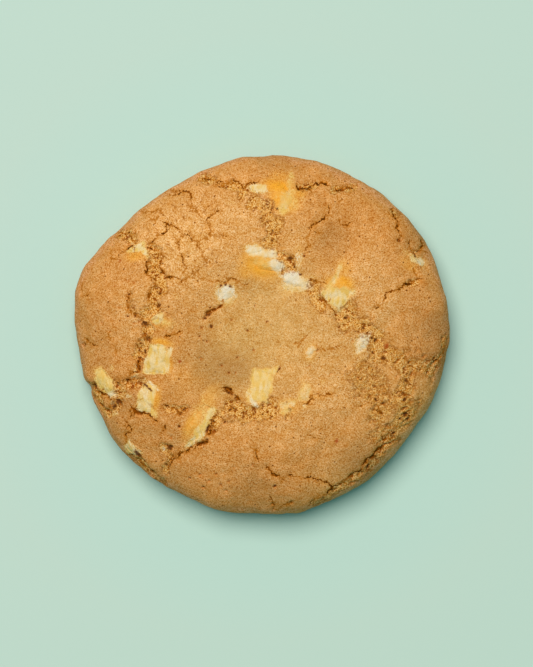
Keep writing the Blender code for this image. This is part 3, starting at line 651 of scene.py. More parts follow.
# bare chocolate beside or beyond the chunks' own outlines: x, y, length, width, softness, how white it is,
# how much shows, and the turn of those that lie aslant
creams = (
    (-0.9, 36.8, 4.8, 2.3, 0.7, 0.4, 1, -10), (5.4, 31.7, 2.6, 3, 1.6, 0.2, 0.75, 6),
    (7.3, 38.2, 1.4, 4.6, 0.8, 0.1, 0.5), (7.2, 35.6, 3.4, 1.4, 0.9, 0.1, 0.6, 8),
    (6.6, 33.6, 5.8, 4.2, 1.8, 0.1, 0.52, -8), (10.4, 34, 1.4, 1.8, 1, 0.2, 0.25),
    (-31.3, 21.8, 4.2, 1.8, 0.6, 0.3, 1, 20), (-29.2, 21.2, 3, 1.3, 0.5, 0.3, 1, -55),
    (-28.2, 19.4, 1.3, 1, 0.5, 0.2, 0.7), (-1.6, 20.9, 4.6, 2.8, 1.3, 0.7, 1, -8),
    (1.8, 20.4, 5.8, 2.4, 1.2, 0.7, 1, -14), (3.9, 17.4, 4.4, 3, 1.2, 0.8, 1, -38),
    (0.4, 18.2, 8, 4.4, 1.8, 0, 0.4, -22), (-1.2, 22.3, 1.8, 0.9, 0.4, 0.5, 0.7),
    (3.6, 22.4, 1.2, 1.6, 0.7, 0.5, 0.35), (9.1, 19.2, 2, 4, 1.1, 0.8, 0.6, 4),
    (9.4, 17.3, 1.2, 1.8, 0.6, 0.7, 0.45), (7.6, 14.2, 5.2, 3.8, 1.4, 0.9, 1, -20),
    (10.6, 12.7, 4, 2.8, 1.3, 0.7, 0.9, -30), (8.2, 12, 5.6, 2.8, 1.6, 0.5, 0.75, -5),
    (5.6, 10.2, 1.3, 0.8, 0.6, 0.7, 0.4), (12.6, 14.3, 2.2, 0.8, 0.6, 0.6, 0.5, -5),
    (-8.8, 10.5, 4.7, 4.4, 1.6, 0.85, 0.84), (-8.6, 8.6, 4, 2.4, 1.3, 0.4, 0.55),
    (18.3, 13.9, 6, 1.2, 0.8, 0.25, 0.85, 66), (17.6, 9.9, 4.6, 1.8, 0.9, 0.6, 1, -8),
    (19.2, 7.4, 4.4, 3.6, 1.3, 0.1, 0.5, -30), (17.2, 12.4, 2.4, 1.8, 0.8, 0, 0.6, 60),
    (38.4, 19.1, 5.4, 1.6, 0.9, 0.5, 0.6, -40), (40.1, 18.2, 2.8, 1.7, 0.8, 0.6, 0.8),
    (-25.6, 4.2, 3.4, 2.4, 0.8, 0.2, 1, 40), (-24.7, 5, 1.4, 1.6, 0.6, 0.3, 0.6),
    (-24.4, 3.4, 3, 1.8, 1, 0, 0.5, -30), (-22.6, 2.4, 4, 2.8, 1, 0.3, 0.25, -35),
    (-23.7, -7.3, 1.7, 4.4, 0.5, 0.3, 0.85), (-23, -4.2, 2.6, 1.1, 0.35, 0.5, 0.85, 76),
    (-27.4, -12.3, 3.8, 1.1, 0.35, 0.7, 0.7, -38), (-28.8, -14.3, 2.6, 3.2, 1, 0.95, 0.85),
    (-29.7, -17.4, 1.8, 2.4, 0.7, 0.9, 0.9), (-29.2, -18.2, 4.4, 2.8, 0.8, 0.3, 0.95, -20),
    (-27.3, -19.4, 2.4, 1.4, 0.7, 0, 0.8, -35), (-2.2, -16.3, 3.6, 1.3, 0.7, 0.7, 0.95, -50),
    (-2.8, -15.1, 2.2, 1, 0.4, 0.8, 0.9, -62), (3, -9, 2.6, 1.8, 0.6, 0.25, 0.75, 30),
    (-0.3, -13.1, 3.4, 1.3, 0.7, 0.5, 0.95, 20), (0.8, -9.4, 5.4, 1.8, 0.6, 0.1, 0.78, 11),
    (12.2, -4.2, 2.2, 3.2, 1.2, 0.9, 0.65, -10), (5.8, -17.5, 2.6, 2, 1.1, 0.4, 0.62),
    (7.8, -17.1, 2.6, 1.8, 1.1, 0.5, 0.6), (6.4, -18.9, 3.4, 1.6, 1.1, 0.1, 0.6),
    (10.8, -17.6, 1.6, 1.2, 0.5, 0.6, 0.6), (12.4, -16.1, 0.8, 0.7, 0.3, 0.7, 0.6),
    (15.1, -11.5, 0.9, 1.8, 0.5, 0.6, 0.3), (-33.3, -15.2, 1.3, 1.2, 0.5, 0.5, 0.6),
    (-38.6, -13.8, 2.8, 2.2, 0.7, 0.3, 0.8, -50), (-37.6, -14.8, 2.6, 1.9, 0.5, 0.5, 0.85, -30),
    (-36.8, -19.8, 2.2, 1.2, 0.6, 0.5, 0.75, -10), (-37.7, -17.5, 0.9, 2, 0.5, 0.5, 0.8, 10),
    (-37.2, -13.8, 2.4, 1.6, 0.6, 0.4, 0.5, -40), (-37.4, -8.3, 1.2, 1.2, 0.6, 0.5, 0.4),
    (-31.4, -8.1, 0.5, 1.6, 0.3, 0.4, 0.6), (-32.2, -10.6, 2.8, 0.4, 0.3, 0.5, 0.7, 28),
    (-30, -1.8, 1.2, 0.8, 0.4, 0.7, 0.6, 20), (-12.6, -19.2, 3.2, 1.3, 0.7, 0.1, 0.85, 62),
    (-13.8, -22.2, 4.2, 1.6, 0.6, 0.15, 1, 68), (-15.3, -25, 3.8, 1.7, 0.6, 0.3, 1, 55),
    (-17.4, -26.7, 3, 1.4, 0.7, 0.4, 1, 38), (-14.8, -19.2, 12, 4.4, 2, 0, 0.36, 62),
    (-24.5, -28.9, 0.6, 0.8, 0.3, 0.9, 0.7), (9.6, -44.6, 2.4, 0.9, 0.4, 0.3, 0.6, 10),
    (-25.1, -36.9, 0.8, 1.5, 0.3, 0.3, 0.7, 30), (-33.2, -29, 2.8, 1.8, 0.6, 0.3, 1, -45),
    (-7.3, 33.2, 2, 1.3, 0.8, 0.5, 0.3), (-21.2, 9.8, 0.9, 2, 0.5, 0.5, 0.3, 20),
    (25.2, -6, 1.6, 1, 0.6, 0.3, 0.3), (27.2, 0.3, 2.2, 1.4, 0.6, 1, 0.5, 60),
    (1.3, 27, 1.4, 0.9, 0.4, 0.6, 0.4), (-39.8, -11.3, 6.2, 3.8, 0.8, 0.05, 0.82, -62),
)

# crust toasted yellow over chocolate: x, y, length, width, amount, and the turn
glows = (
    (4.2, 37.1, 7.4, 4, 1, -6), (5.4, 34, 7, 5.6, 1, -30), (9.2, 35.3, 4, 2.2, 0.5), (4.6, 39.6, 6, 3, 0.4),
    (0.2, 17.7, 9.5, 7, 0.95, -14), (-3.6, 16, 5, 4, 0.45), (20.3, 12.8, 5.4, 3.8, 1, -15),
    (17, 13, 2.6, 3.4, 0.5), (20.6, 16.4, 3.6, 5, 0.35, -10), (-31, 19.9, 5.6, 2.6, 0.6, 12),
    (-24.9, -1.8, 5.4, 1.8, 0.7, -12), (-23, -7.4, 2, 4.4, 0.5), (-26.6, -16.2, 2.8, 6.4, 0.65, -12),
    (-17, -22.2, 8, 3.6, 0.8, 58), (-13.4, -16.4, 8, 3.4, 0.3, 66), (-18, -24.4, 2.8, 1.6, 0.4, 60),
    (9, 12.2, 4.6, 2.2, 0.3, -5), (-40.2, -9.8, 3.4, 2.4, 0.3, -60), (6.8, -18, 5, 3.4, 0.4),
    (37, 17.8, 5, 3, 0.3, -40), (-8.8, 9.4, 5, 3, 0.2), (11, -14.6, 3.6, 4.6, 0.2),
    (-25, 3.4, 5, 3.6, 0.5, -20), (12.2, -4.4, 3, 4, 0.2), (-20, -12, 10, 8, 0.12), (-16, -9, 6, 6, 0.08),
)

# red-brown specks: x, y, size
specks = ((-20.3, -6.6, 1), (31.2, -2.8, 1.7), (18.7, -26.5, 1.3), (22, 4.6, 0.6), (-35.4, 18.6, 0.8))

patchSizes = {
    "margin": 2,                # how far round a bare patch its edge is looked for
    "ragged": (0.5, 0.4),       # how far noise tears a hard edge, and how much further a soft one
    "glowFall": 0.9,            # how steeply a glow fades
    "speckWidth": 0.8,          # share of its length
    "speckTurn": 70,
    "speckEdge": (0.5, 1.2),    # where it starts to fade and where it ends, 1 at its edge
}


def bare(fields, near, shown, whiteness):
    # bares the chocolate at the rows near, as white as what shows most there
    weight = shown ** 3
    fields["cream"][near] = np.maximum(fields["cream"][near], shown)
    fields["white"][near] += whiteness * weight
    fields["weight"][near] += weight


def edgeShown(inside, wobble, softness, ragged):
    # how much shows at each distance inside an edge, which the wobble tears
    hard, soft = ragged
    return smoothStep(-softness, softness, inside + wobble * (hard + soft * softness))


def chunkFields(places, wobble, fields):
    # bares the chunks, and says how far inside the nearest chunk's top each place is
    inset = np.full(len(places), -np.inf)
    for chunk in chunks:
        middle = np.array(chunk["matrix"].translation)
        reach = chunk["reach"] + chunkSizes["margin"]
        near = np.nonzero(np.linalg.norm(places - middle, axis=1) < reach)[0]
        local = moved(places[near], chunk["matrix"].inverted())
        depth = topInset(local, chunk)
        inset[near] = np.maximum(inset[near], depth)
        coverTurn, coverStart, softness, whiteness, bareness = chunk["look"]
        angle = math.radians(coverTurn) - chunk["turn"]
        along = local[:, 0] * math.cos(angle) + local[:, 1] * math.sin(angle) + wobble[near]
        film = smoothStep(coverStart, coverStart + chunkSizes["filmFade"], along)
        shown = edgeShown(depth + chunkSizes["bareBeyond"], wobble[near], softness, chunkSizes["ragged"])
        bare(fields, near, bareness * shown * (1 - chunkSizes["filmCover"] * film), whiteness)
    return inset


def patchFields(points, climb, wobble, fields):
    # adds the bare patches, the toasted ones and the specks
    glow, speck = fields["glow"], fields["speck"]
    for x, y, length, width, softness, whiteness, amount, *turn in creams:
        near = nearRows(points, x, y, max(length, width) + patchSizes["margin"])
        inside = (1 - ellipseShare(points[near], x, y, length, width, *turn)) * min(length, width) / 2
        shown = amount * edgeShown(inside, wobble[near], softness, patchSizes["ragged"])
        bare(fields, near, shown * climb[near], whiteness)
    for x, y, length, width, amount, *turn in glows:
        near = nearRows(points, x, y, 2 * max(length, width))
        distance = ellipseShare(points[near], x, y, length, width, *turn)
        shown = amount * np.exp(-patchSizes["glowFall"] * distance ** 3)
        glow[near] = np.maximum(glow[near], shown * climb[near])
    for x, y, size in specks:
        near = nearRows(points, x, y, 2 * size)
        width = size * patchSizes["speckWidth"]
        distance = ellipseShare(points[near], x, y, size, width, patchSizes["speckTurn"])
        speck[near] = np.maximum(speck[near], 1 - smoothStep(*patchSizes["speckEdge"], distance))


# broad tone of the crust, with painted shade where the rim's shoulders turn from the light and around the
# dimple; darker where the amount is below 0: x, y, radius, amount
toneAndShadeSpots = (
    (-20, 22, 12, 0.8), (24, 16, 8, 0.5), (8, -4, 10, 0.15), (-4, 30, 8, 0.45), (15, -17, 7, 0.2),
    (3, 9, 6, 0.4), (9, 24, 4, 0.5), (-32, 7, 5, 0.5), (16, 1, 5, 0.35), (20, -14, 7, 0.22),
    (28, -15, 8, 0.2), (30, 3.5, 3, 0.35), (-33, 0, 4, 0.2), (31, 9, 4, 0.35), (6, -24, 8, 0.22),
    (-22, -9, 3, 0.3), (15, 9, 2.5, 0.3), (-6, -21.5, 2.5, 0.35), (-8.5, -8.5, 5, -0.5),
    (-15, -3, 5, -0.35), (-14, -9, 5, -0.25), (-42, 4, 7, -0.2), (44, 2, 5, -0.7), (18, 23, 6, -0.58),
    (-22, -24, 7, -0.2), (-4, -8.5, 4, -0.3), (-21, -37, 5, -0.3), (0, -38, 8, -0.35), (-38, -22, 5, -0.35),
    (38, 24, 5, -0.4), (25, -32, 6, -0.65), (32, -25, 4, -0.35), (-33, 16, 4, -0.3), (-41, -7, 4, -0.3),
    (3, 44, 6, -0.25), (44, -6.5, 3.5, -0.8), (-33, -16, 4, -0.4), (37, -7, 4, -0.3),
    (-22.5, -12.5, 3, -0.35), (-29.5, -9.5, 2.5, -0.35),
)
sandySpots = (
    (3, 1, 19, 1), (-9, -7, 7, 0.8), (2, 8, 5, 0.4), (27, -5, 8, 0.3), (24, -38, 10, 0.6),
    (38, -22, 10, 0.7),
)
crazedSpots = ((-20, 26, 13, 1), (34, -14, 9, 0.8), (-30, -20, 9, 0.6), (14, 27, 8, 0.6), (-30, 4, 8, 0.5))

shadeSizes = {
    "foot": (0.5, 7.5),         # heights between which the shade of the foot fades
    "paleSideAndSheen": (12, 14.5),        # and that of the paler side above it: crust less browned, and a painted sheen of the grazing rim
    "creamCover": 0.8,          # how much of the crumb bare chocolate hides
    "holeCalm": 0.5,            # how much shallower a crack is inside a hole
}


def crustFields(places):
    # what the crust's material reads at every place, on the dough and on the chunks alike, how far the
    # splits sink it, and how far inside a chunk it is
    bent = places[:, :2].copy()
    for number, (spacing, reach) in enumerate(splitSizes["bends"]):
        bent += bendAt(places, spacing, noiseShifts["bends"] * number)[:, :2] * reach
    near = (bent + places[:, :2]) / 2       # holes and patches have smoother edges
    height = places[:, 2]
    climb = np.clip((height - splitSizes["footHeight"]) / splitSizes["footFade"], 0, 1)
    tearSink, crumb = tearFields(bent, places)
    crackSink, side, split = crackFields(places)
    holeSink, holeShade = holeFields(near)
    wobble = layeredNoise(places, chunkSizes["edges"], noiseShifts["edges"])
    shown = {key: np.zeros(len(places)) for key in ("cream", "white", "weight", "glow", "speck")}
    inset = chunkFields(places, wobble, shown)
    patchFields(near, climb, wobble, shown)
    calm = 1 - shadeSizes["holeCalm"] * np.clip(holeSink, 0, 1)
    sink = climb * (np.maximum(tearSink, holeSink) + crackSink * calm)
    fields = {
        "cream": shown["cream"],
        "white": shown["white"] / np.maximum(shown["weight"], 1e-6),
        "glow": shown["glow"],
        "speck": shown["speck"],
        "crumb": crumb * climb * (1 - shadeSizes["creamCover"] * shown["cream"]),
        "lump": layeredNoise(places, splitSizes["lumps"], noiseShifts["lumps"]),
        "side": side,
        "split": split * climb,
        "holeShade": holeShade * climb,
        "light": spotField(places, toneAndShadeSpots),
        "sandy": spotField(places, sandySpots),
        "crazed": spotField(places, crazedSpots),
        "foot": 1 - smoothStep(*shadeSizes["foot"], height),
        "paleSideAndSheen": 1 - smoothStep(*shadeSizes["paleSideAndSheen"], height),
    }
    return fields, sink, inset


fieldNames = (
    "cream", "white", "glow", "speck", "crumb", "lump", "side", "split", "holeShade", "light", "sandy", "crazed",
    "foot", "paleSideAndSheen",
)
grainSizes = (          # name, spacing in mm, detail
    ("broad", 7, 3), ("patchy", 2.4, 2), ("ragged", 0.9, 2), ("kink", 0.55, 1), ("gap", 1.7, 1),
    ("fine", 0.42, 1), ("grit", 0.26, 0),
)
plateSize = 5.5         # mm between the hairline cracks of the crazed crust
spotSpacing = 1.6       # mm between the pinholes, darkened with painted shade
streakSquash = 0.4      # the chocolate's streaks run up the picture
bumpDepth = 0.16        # mm
crustColour = "DB9750"

# what the colours mix by: name, kind, then signals and numbers. A range goes from 0 at its first number to
# its third at its second, times the signals behind. A sum adds to its first the products of the pairs behind
crustSteps = (
    ("shade", "RANGE", "broad", 0.3, 0.7, 1),
    ("lighten", "RANGE", "light", 0, 1, 1),
    # darker tone, partly painted shade on the rim's shoulders and in the dimple
    ("darkerAndShade", "RANGE", "light", 0, -1, 0.9),
    ("patches", "RANGE", "patchy", 0.48, 0.66, 1),
    ("tint", "RANGE", "patchy", 0.5, 0.34, 1),
    ("plain", "SUM", 1.15, "cream", -1, "sandy", -0.4, "glow", -0.6),
    ("mottle", "SUM", "fine", "grit", 1.3),
    ("softFleck", "RANGE", "mottle", 1.18, 0.96, 1, "plain"),
    ("darkFleck", "RANGE", "mottle", 0.98, 0.74, 1, "plain"),
    ("lightFleck", "RANGE", "mottle", 1.2, 1.44, 1, "plain"),
    ("blotch", "RANGE", "ragged", 0.5, 0.36, 1, "plain"),
    # pinholes, darkened with painted shade
    ("spotSize", "RANGE", "patchy", 0.42, 0.6, 0.15),
    ("spotEdge", "SUM", "spotSize", "spotAway", -1),
    ("spot", "RANGE", "spotEdge", -0.03, 0.03, 0.85, "plain"),
    ("crumbEdge", "SUM", "crumb", "ragged", 0.9),
    ("crumbShown", "RANGE", "crumbEdge", 0.75, 1.1, 1),
    ("crumbBand", "RANGE", "crumbEdge", 0.62, 0.78, 1),
    ("crumbBand", "SUM", "crumbBand", "crumbShown", -1),
    # painted shade along a tear's broken edge
    ("crumbRimShade", "RANGE", "kink", 0.42, 0.52, 0.8, "crumbBand"),
    ("rough", "SUM", "lump", "kink", 0.9, "fine", 0.9),
    # painted light on the tops of the crumb's raised lumps
    ("lumpHighlight", "RANGE", "rough", 0.92, 1.2, 0.5, "crumbShown"),
    ("crumbLight", "RANGE", "mottle", 1.2, 1.4, 0.75, "crumbShown"),
    ("crumbDark", "RANGE", "mottle", 1.12, 0.88, 0.95, "crumbShown"),
    ("creamEdge", "SUM", "cream", "ragged", 0.5, "grit", 0.25),
    ("filmShown", "RANGE", "creamEdge", 0.45, 0.9, 0.7),
    ("creamShown", "RANGE", "creamEdge", 0.65, 1.2, 1),
    ("streak", "RANGE", "streaks", 0.42, 0.6, 0.85, "creamShown"),
    ("whiteShown", "SUM", 0, "white", "creamShown", "streak", -0.3),
    # painted shade in the pits between the crumb's lumps
    ("pitShade", "RANGE", "rough", 0.74, 0.58, 0.95, "crumbShown"),
    ("pitShade", "SUM", "pitShade", "creamShown", -1),
    # painted shade in the holes: an orange-brown hem round a dark core
    ("holeShadeEdge", "SUM", "holeShade", "kink", 1.1, "fine", 0.7),
    ("holeShadeHem", "RANGE", "holeShadeEdge", 1.2, 1.42, 0.65),
    ("holeShadeCore", "RANGE", "holeShadeEdge", 1.4, 1.66, 0.9),
    ("bent", "SUM", -0.45, "side", 1, "kink", 0.9),
    ("away", "ABSOLUTE", "bent"),
    ("gapOpen", "RANGE", "gap", 0.36, 0.6, 0.75),
    ("opened", "SUM", 0, "split", 0.25, "split", "gapOpen"),
    ("line", "SUM", -0.25, "away", 1, "opened", -0.22, "fine", 0.5),
    ("crackOn", "RANGE", "split", 0.03, 0.2, 1),
    ("coreOn", "RANGE", "split", 0.15, 0.85, 1),
    ("halo", "RANGE", "away", 1.2, 0.2, 0.75, "opened"),
    # the cracks: an orange-brown hem, and painted shade in their depth as a core and dots
    ("crackHem", "RANGE", "line", 0.24, 0, 0.8, "crackOn"),
    ("crackShadeCore", "RANGE", "line", 0.04, -0.05, 0.95, "coreOn"),
    ("crackShadeDot", "RANGE", "ragged", 0.46, 0.56, 0.95, "crackShadeCore", "coreOn"),
    ("plateLine", "SUM", "plateEdge", "kink", 0.14),
    ("hairOn", "RANGE", "gap", 0.48, 0.58, 1),
    ("hairline", "RANGE", "plateLine", 0.108, 0.08, 0.85, "hairOn", "crazed"),
    ("relief", "SUM", "mottle", "crackShadeCore", -0.9, "rough", "crumbShown", "hairline", -0.5),
    ("bumpStrength", "SUM", 0.45, "crumbShown", 0.05),
)

crustLayers = (         # signal, blend, colour: sRGB hex, or factors of linear red, green and blue
    ("shade", "MIX", "DF9A52"),
    ("sandy", "MIX", "D9A55E"),
    ("lighten", "MIX", "F3B870"),
    ("foot", "MULTIPLY", (0.72, 0.6, 0.42)),
    # paler, greyer side: less browned crust and a painted sheen of the grazing rim
    ("paleSideAndSheen", "MULTIPLY", (1.06, 1.08, 1.44)),
    ("patches", "MULTIPLY", (1.1, 1.1, 1.12)),
    ("tint", "MULTIPLY", (0.96, 0.89, 0.74)),
    ("blotch", "MULTIPLY", (0.95, 0.88, 0.74)),
    ("halo", "MULTIPLY", (0.98, 0.84, 0.48)),
    ("glow", "MIX", "FCA92C"),
    ("crumbShown", "MIX", "EAA64C"),
    # painted light on the crumb's raised lumps
    ("lumpHighlight", "MIX", "F6BA6A"),
    # darker tone, partly painted shade on the rim's shoulders and in the dimple
    ("darkerAndShade", "MIX", "B27A40"),
    ("filmShown", "MIX", "F2B65C"),
    ("creamShown", "MIX", "F4CB7A"),
    ("streak", "MIX", "F0BC58"),
    ("whiteShown", "MIX", "F4E4C8"),
    ("softFleck", "MULTIPLY", (0.91, 0.83, 0.68)),
    ("darkFleck", "MULTIPLY", (0.72, 0.53, 0.28)),
    ("lightFleck", "MULTIPLY", (1.17, 1.38, 2)),
    ("crumbLight", "MIX", "F6C680"),
    ("crumbDark", "MIX", "B4640A"),
    # painted shade in the pinholes
    ("spot", "MIX", "86480E"),
    # painted shade along the tears' broken edges
    ("crumbRimShade", "MIX", "9E580E"),
    # painted shade in the holes
    ("holeShadeHem", "MIX", "B46A1C"),
    # painted shade in the crumb's pits
    ("pitShade", "MIX", "904604"),
    # painted shade in the holes' cores
    ("holeShadeCore", "MIX", "623312"),
    ("hairline", "MIX", "AA5E10"),
    # the cracks: orange-brown hem, then painted shade in their depth
    ("crackHem", "MIX", "C27012"),
    ("crackShadeCore", "MIX", "8A4404"),
    ("crackShadeDot", "MIX", "562A02"),
    ("speck", "MIX", "B4541C"),
)


def bakedMaterial(name, roughness, shine):
    # sugar cookie crust, baked dry: golden brown, finely grained and pinholed, ochre crumb in its splits, and
    # white chocolate that is cream where bare and toasted yellow under a film of crust; with painted shade in
    # its cracks, holes, pits and pinholes and on the rim's shoulders, painted light on the crumb's lumps and
    # a painted sheen on its side
    material = bpy.data.materials.new(name)
    material.use_nodes = True
    tree = material.node_tree
    shader = tree.nodes["Principled BSDF"]
    place = addNode(tree, "ShaderNodeTexCoord", output="Object")
    signal = {}
    for key in fieldNames:
        signal[key] = addNode(tree, "ShaderNodeAttribute", {"attribute_name": key}, output="Fac")
    for key, size, detail in grainSizes:
        scale = {"Vector": place, "Scale": 1 / (size * mm), "Detail": detail}
        signal[key] = addNode(tree, "ShaderNodeTexNoise", {}, scale)
    plates = {"Vector": place, "Scale": 1 / (plateSize * mm)}
    edge = {"feature": "DISTANCE_TO_EDGE"}
    signal["plateEdge"] = addNode(tree, "ShaderNodeTexVoronoi", edge, plates, "Distance")
    stretched = {0: place, 1: (1 / mm, streakSquash / mm, 1 / mm)}
    long = addNode(tree, "ShaderNodeVectorMath", {"operation": "MULTIPLY"}, stretched)
    signal["streaks"] = addNode(tree, "ShaderNodeTexNoise", {}, {"Vector": long, "Scale": 1, "Detail": 2})
    spots = {"Vector": place, "Scale": 1 / (spotSpacing * mm)}
    signal["spotAway"] = addNode(tree, "ShaderNodeTexVoronoi", {}, spots, "Distance")

    for key, kind, *values in crustSteps:
        value, *values = [signal.get(value, value) for value in values]
        if kind == "RANGE":
            start, end, most, *factors = values
            span = {"Value": value, "From Min": start, "From Max": end, "To Max": most}
            value = addNode(tree, "ShaderNodeMapRange", {}, span)
            for factor in factors:
                value = addNode(tree, "ShaderNodeMath", {"operation": "MULTIPLY"}, {0: value, 1: factor})
        elif kind == "SUM":
            for one, other in zip(values[::2], values[1::2]):
                product = {0: one, 1: other, 2: value}
                value = addNode(tree, "ShaderNodeMath", {"operation": "MULTIPLY_ADD"}, product)
        else:
            value = addNode(tree, "ShaderNodeMath", {"operation": kind}, {0: value})
        signal[key] = value

    crust = hexColour(crustColour)
    for key, blend, colour in crustLayers:
        colour = hexColour(colour) if isinstance(colour, str) else (*colour, 1)
        layer = {0: signal[key], 6: crust, 7: colour}
        crust = addNode(tree, "ShaderNodeMix", {"data_type": "RGBA", "blend_type": blend}, layer, 2)
    tree.links.new(crust, shader.inputs["Base Color"])
    bump = {"Height": signal["relief"], "Strength": signal["bumpStrength"], "Distance": bumpDepth * mm}
    tree.links.new(addNode(tree, "ShaderNodeBump", {}, bump), shader.inputs["Normal"])
    shader.inputs["Roughness"].default_value = roughness
    shader.inputs["Specular IOR Level"].default_value = shine
    return material


doughSizes = {
    "cells": 300,
    "topRings": 0.94,           # share of the sheet's rings that lie on the top and the shoulder
    "grain": ((1.6, 0.05), (0.8, 0.04)),
    "chunkSink": 0.9,
    "chunkEdge": (0.1, 0.9),    # how far inside a chunk the dough starts to sink and is right down
    "chunkLip": 0.06,
    "lipWidth": 0.7,
    "calmReach": 0.3,           # so near to a chunk and over it, splits are shallower
    "calmShare": 0.3,
}


def discPlace(sheet):
    # share and angle of the points of a square sheet that is drawn into a round one
    across, up = sheet[:, 0], sheet[:, 1]
    side = np.abs(across) >= np.abs(up)
    longer = np.where(side, across, up)
    slant = math.pi / 4 * np.where(side, up, across) / np.where(longer == 0, 1, longer)
    angle = np.where(side, slant, math.pi / 2 - slant)
    return np.abs(longer), angle + math.pi * (longer < 0)


def makeDough():
    bm = bmesh.new()
    cells = doughSizes["cells"]
    bmesh.ops.create_grid(bm, x_segments=cells, y_segments=cells, size=1)
    bmesh.ops.contextual_create(bm, geom=[edge for edge in bm.edges if edge.is_boundary])
    piece = addPiece("bakedDough", bm)
    mesh = piece.data
    sheet = np.zeros(len(mesh.vertices) * 3)
    mesh.vertices.foreach_get("co", sheet)
    share, angle = discPlace(sheet.reshape(-1, 3))
    widest = profileShare[bodySizes["profileSteps"] - 1]
    share = np.interp(share, (0, doughSizes["topRings"], 1), (0, widest, 1))
    places = plainPoints(share, angle)
    normals = plainNormals(share, angle)
    fade = np.clip((1 - share) / bodySizes["baseFade"], 0, 1)

    rise = bodyRelief(places)
    fields, sink, inset = crustFields(places + normals * rise[:, None])
    lip = np.exp(-(np.maximum(-inset, 0) / doughSizes["lipWidth"]) ** 2) * (inset < 0)
    rise -= np.where(inset > -doughSizes["calmReach"], doughSizes["calmShare"], 1) * sink
    socket = doughSizes["chunkSink"] * smoothStep(*doughSizes["chunkEdge"], inset)
    rise -= socket - doughSizes["chunkLip"] * lip
    pits = smoothStep(*splitSizes["pitEdge"], -fields["lump"])
    rise += fields["crumb"] * (splitSizes["lumpRise"] * fields["lump"] - splitSizes["pitDepth"] * pits)
    rise += layeredNoise(places, doughSizes["grain"], noiseShifts["grain"])
    points = (places + normals * (rise * fade)[:, None]) * mm
    mesh.vertices.foreach_set("co", points.ravel())
    paint(mesh, fields)
    mesh.update()
    return piece


dough = makeDough()
dough.data.materials.append(bakedMaterial("bakedCrust", roughness=0.8, shine=0))
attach(dough, "root")
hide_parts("dough")
print("dough made", len(dough.data.polygons))


def outlineReach(angle, corners):
    # how far an outline of corners reaches from its middle in each direction
    corners = [complex(*corner) for corner in corners]
    ray = np.exp(1j * angle)
    reach = np.zeros(len(angle))
    tiny = 1e-9
    for start, end in zip(corners, corners[1:] + corners[:1]):
        run = end - start
        across = (ray * run.conjugate()).imag
        hit = (start * run.conjugate()).imag / np.where(np.abs(across) < tiny, tiny, across)
        between = ((ray / start).imag >= -tiny) & ((end / ray).imag > -tiny)
        reach = np.where(between & (hit > 0), hit, reach)
    return reach


def makeChunk(chunk):
    bm = bmesh.new()
    bmesh.ops.create_cube(bm, size=2)
    bmesh.ops.subdivide_edges(bm, edges=bm.edges, cuts=chunkSizes["cuts"], use_grid_fill=True)
    cube = np.array([vert.co[:] for vert in bm.verts])
    share, angle = discPlace(cube)
    depth = (1 - cube[:, 2]) / 2
    size = share * outlineReach(angle, chunk["corners"]) * (1 - (1 - chunkSizes["taper"]) * (1 - depth))
    place = np.stack((size * np.cos(angle), size * np.sin(angle), -depth * chunkSizes["thickness"]), axis=1)
    crust = crustAbove(*moved(place * (1, 1, 0), chunk["matrix"])[:, :2].T)
    lift = moved(crust, chunk["matrix"].inverted())[:, 2] + chunkSizes["proud"]
    place[:, 2] += np.clip(lift, -chunkSizes["mostLift"], chunkSizes["mostLift"]) * (1 - depth)
    softness = chunk["look"][2]
    rounding, drop = (hard + soft * softness for hard, soft in chunkSizes["rounding"])
    place[:, 2] -= drop * (1 - smoothStep(0, rounding, topInset(place, chunk))) * (1 - depth)
    for vert, co in zip(bm.verts, place):
        vert.co = co
    for _ in range(chunkSizes["smoothings"]):
        bmesh.ops.smooth_vert(
            bm, verts=bm.verts, factor=0.5, use_axis_x=True, use_axis_y=True, use_axis_z=True,
        )
    bmesh.ops.transform(bm, matrix=chunk["matrix"], verts=bm.verts)
    bm.normal_update()
    moves = []
    for vert in bm.verts:
        rise = sum(height * noise.noise(vert.co / spacing) for spacing, height in chunkSizes["roughness"])
        moves.append(vert.normal * rise)
    for vert, move in zip(bm.verts, moves):
        vert.co += move
    places = np.array([vert.co[:] for vert in bm.verts])
    bmesh.ops.scale(bm, vec=(mm, mm, mm), verts=bm.verts)
    piece = addPiece("baked_" + chunk["name"], bm)
    paint(piece.data, crustFields(places)[0])
    return piece


whiteChocolate = bakedMaterial("bakedWhiteChocolate", roughness=0.5, shine=0.1)
for chunk in chunks:
    piece = makeChunk(chunk)
    piece.data.materials.append(whiteChocolate)
    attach(piece, "root")
    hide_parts(chunk["name"])
print("chunks made")


floorSizes = {
    "side": 1.6,
    "drop": 0.05 * mm,
    "farColour": "CBDFCE",
    "nearColour": "C3D9C7",
    "fade": ((-0.06, 0.08), (0.06, -0.08)),     # places in m between which the painted fall of light fades
    "nearTint": (0.915, 1.018, 1.04),           # takes out the warm light that the cookie throws on it
    "tintReach": (0.046, 0.078),                # distances from the middle in m between which it fades
    "roughness": 0.9,
    "shine": 0.1,
}


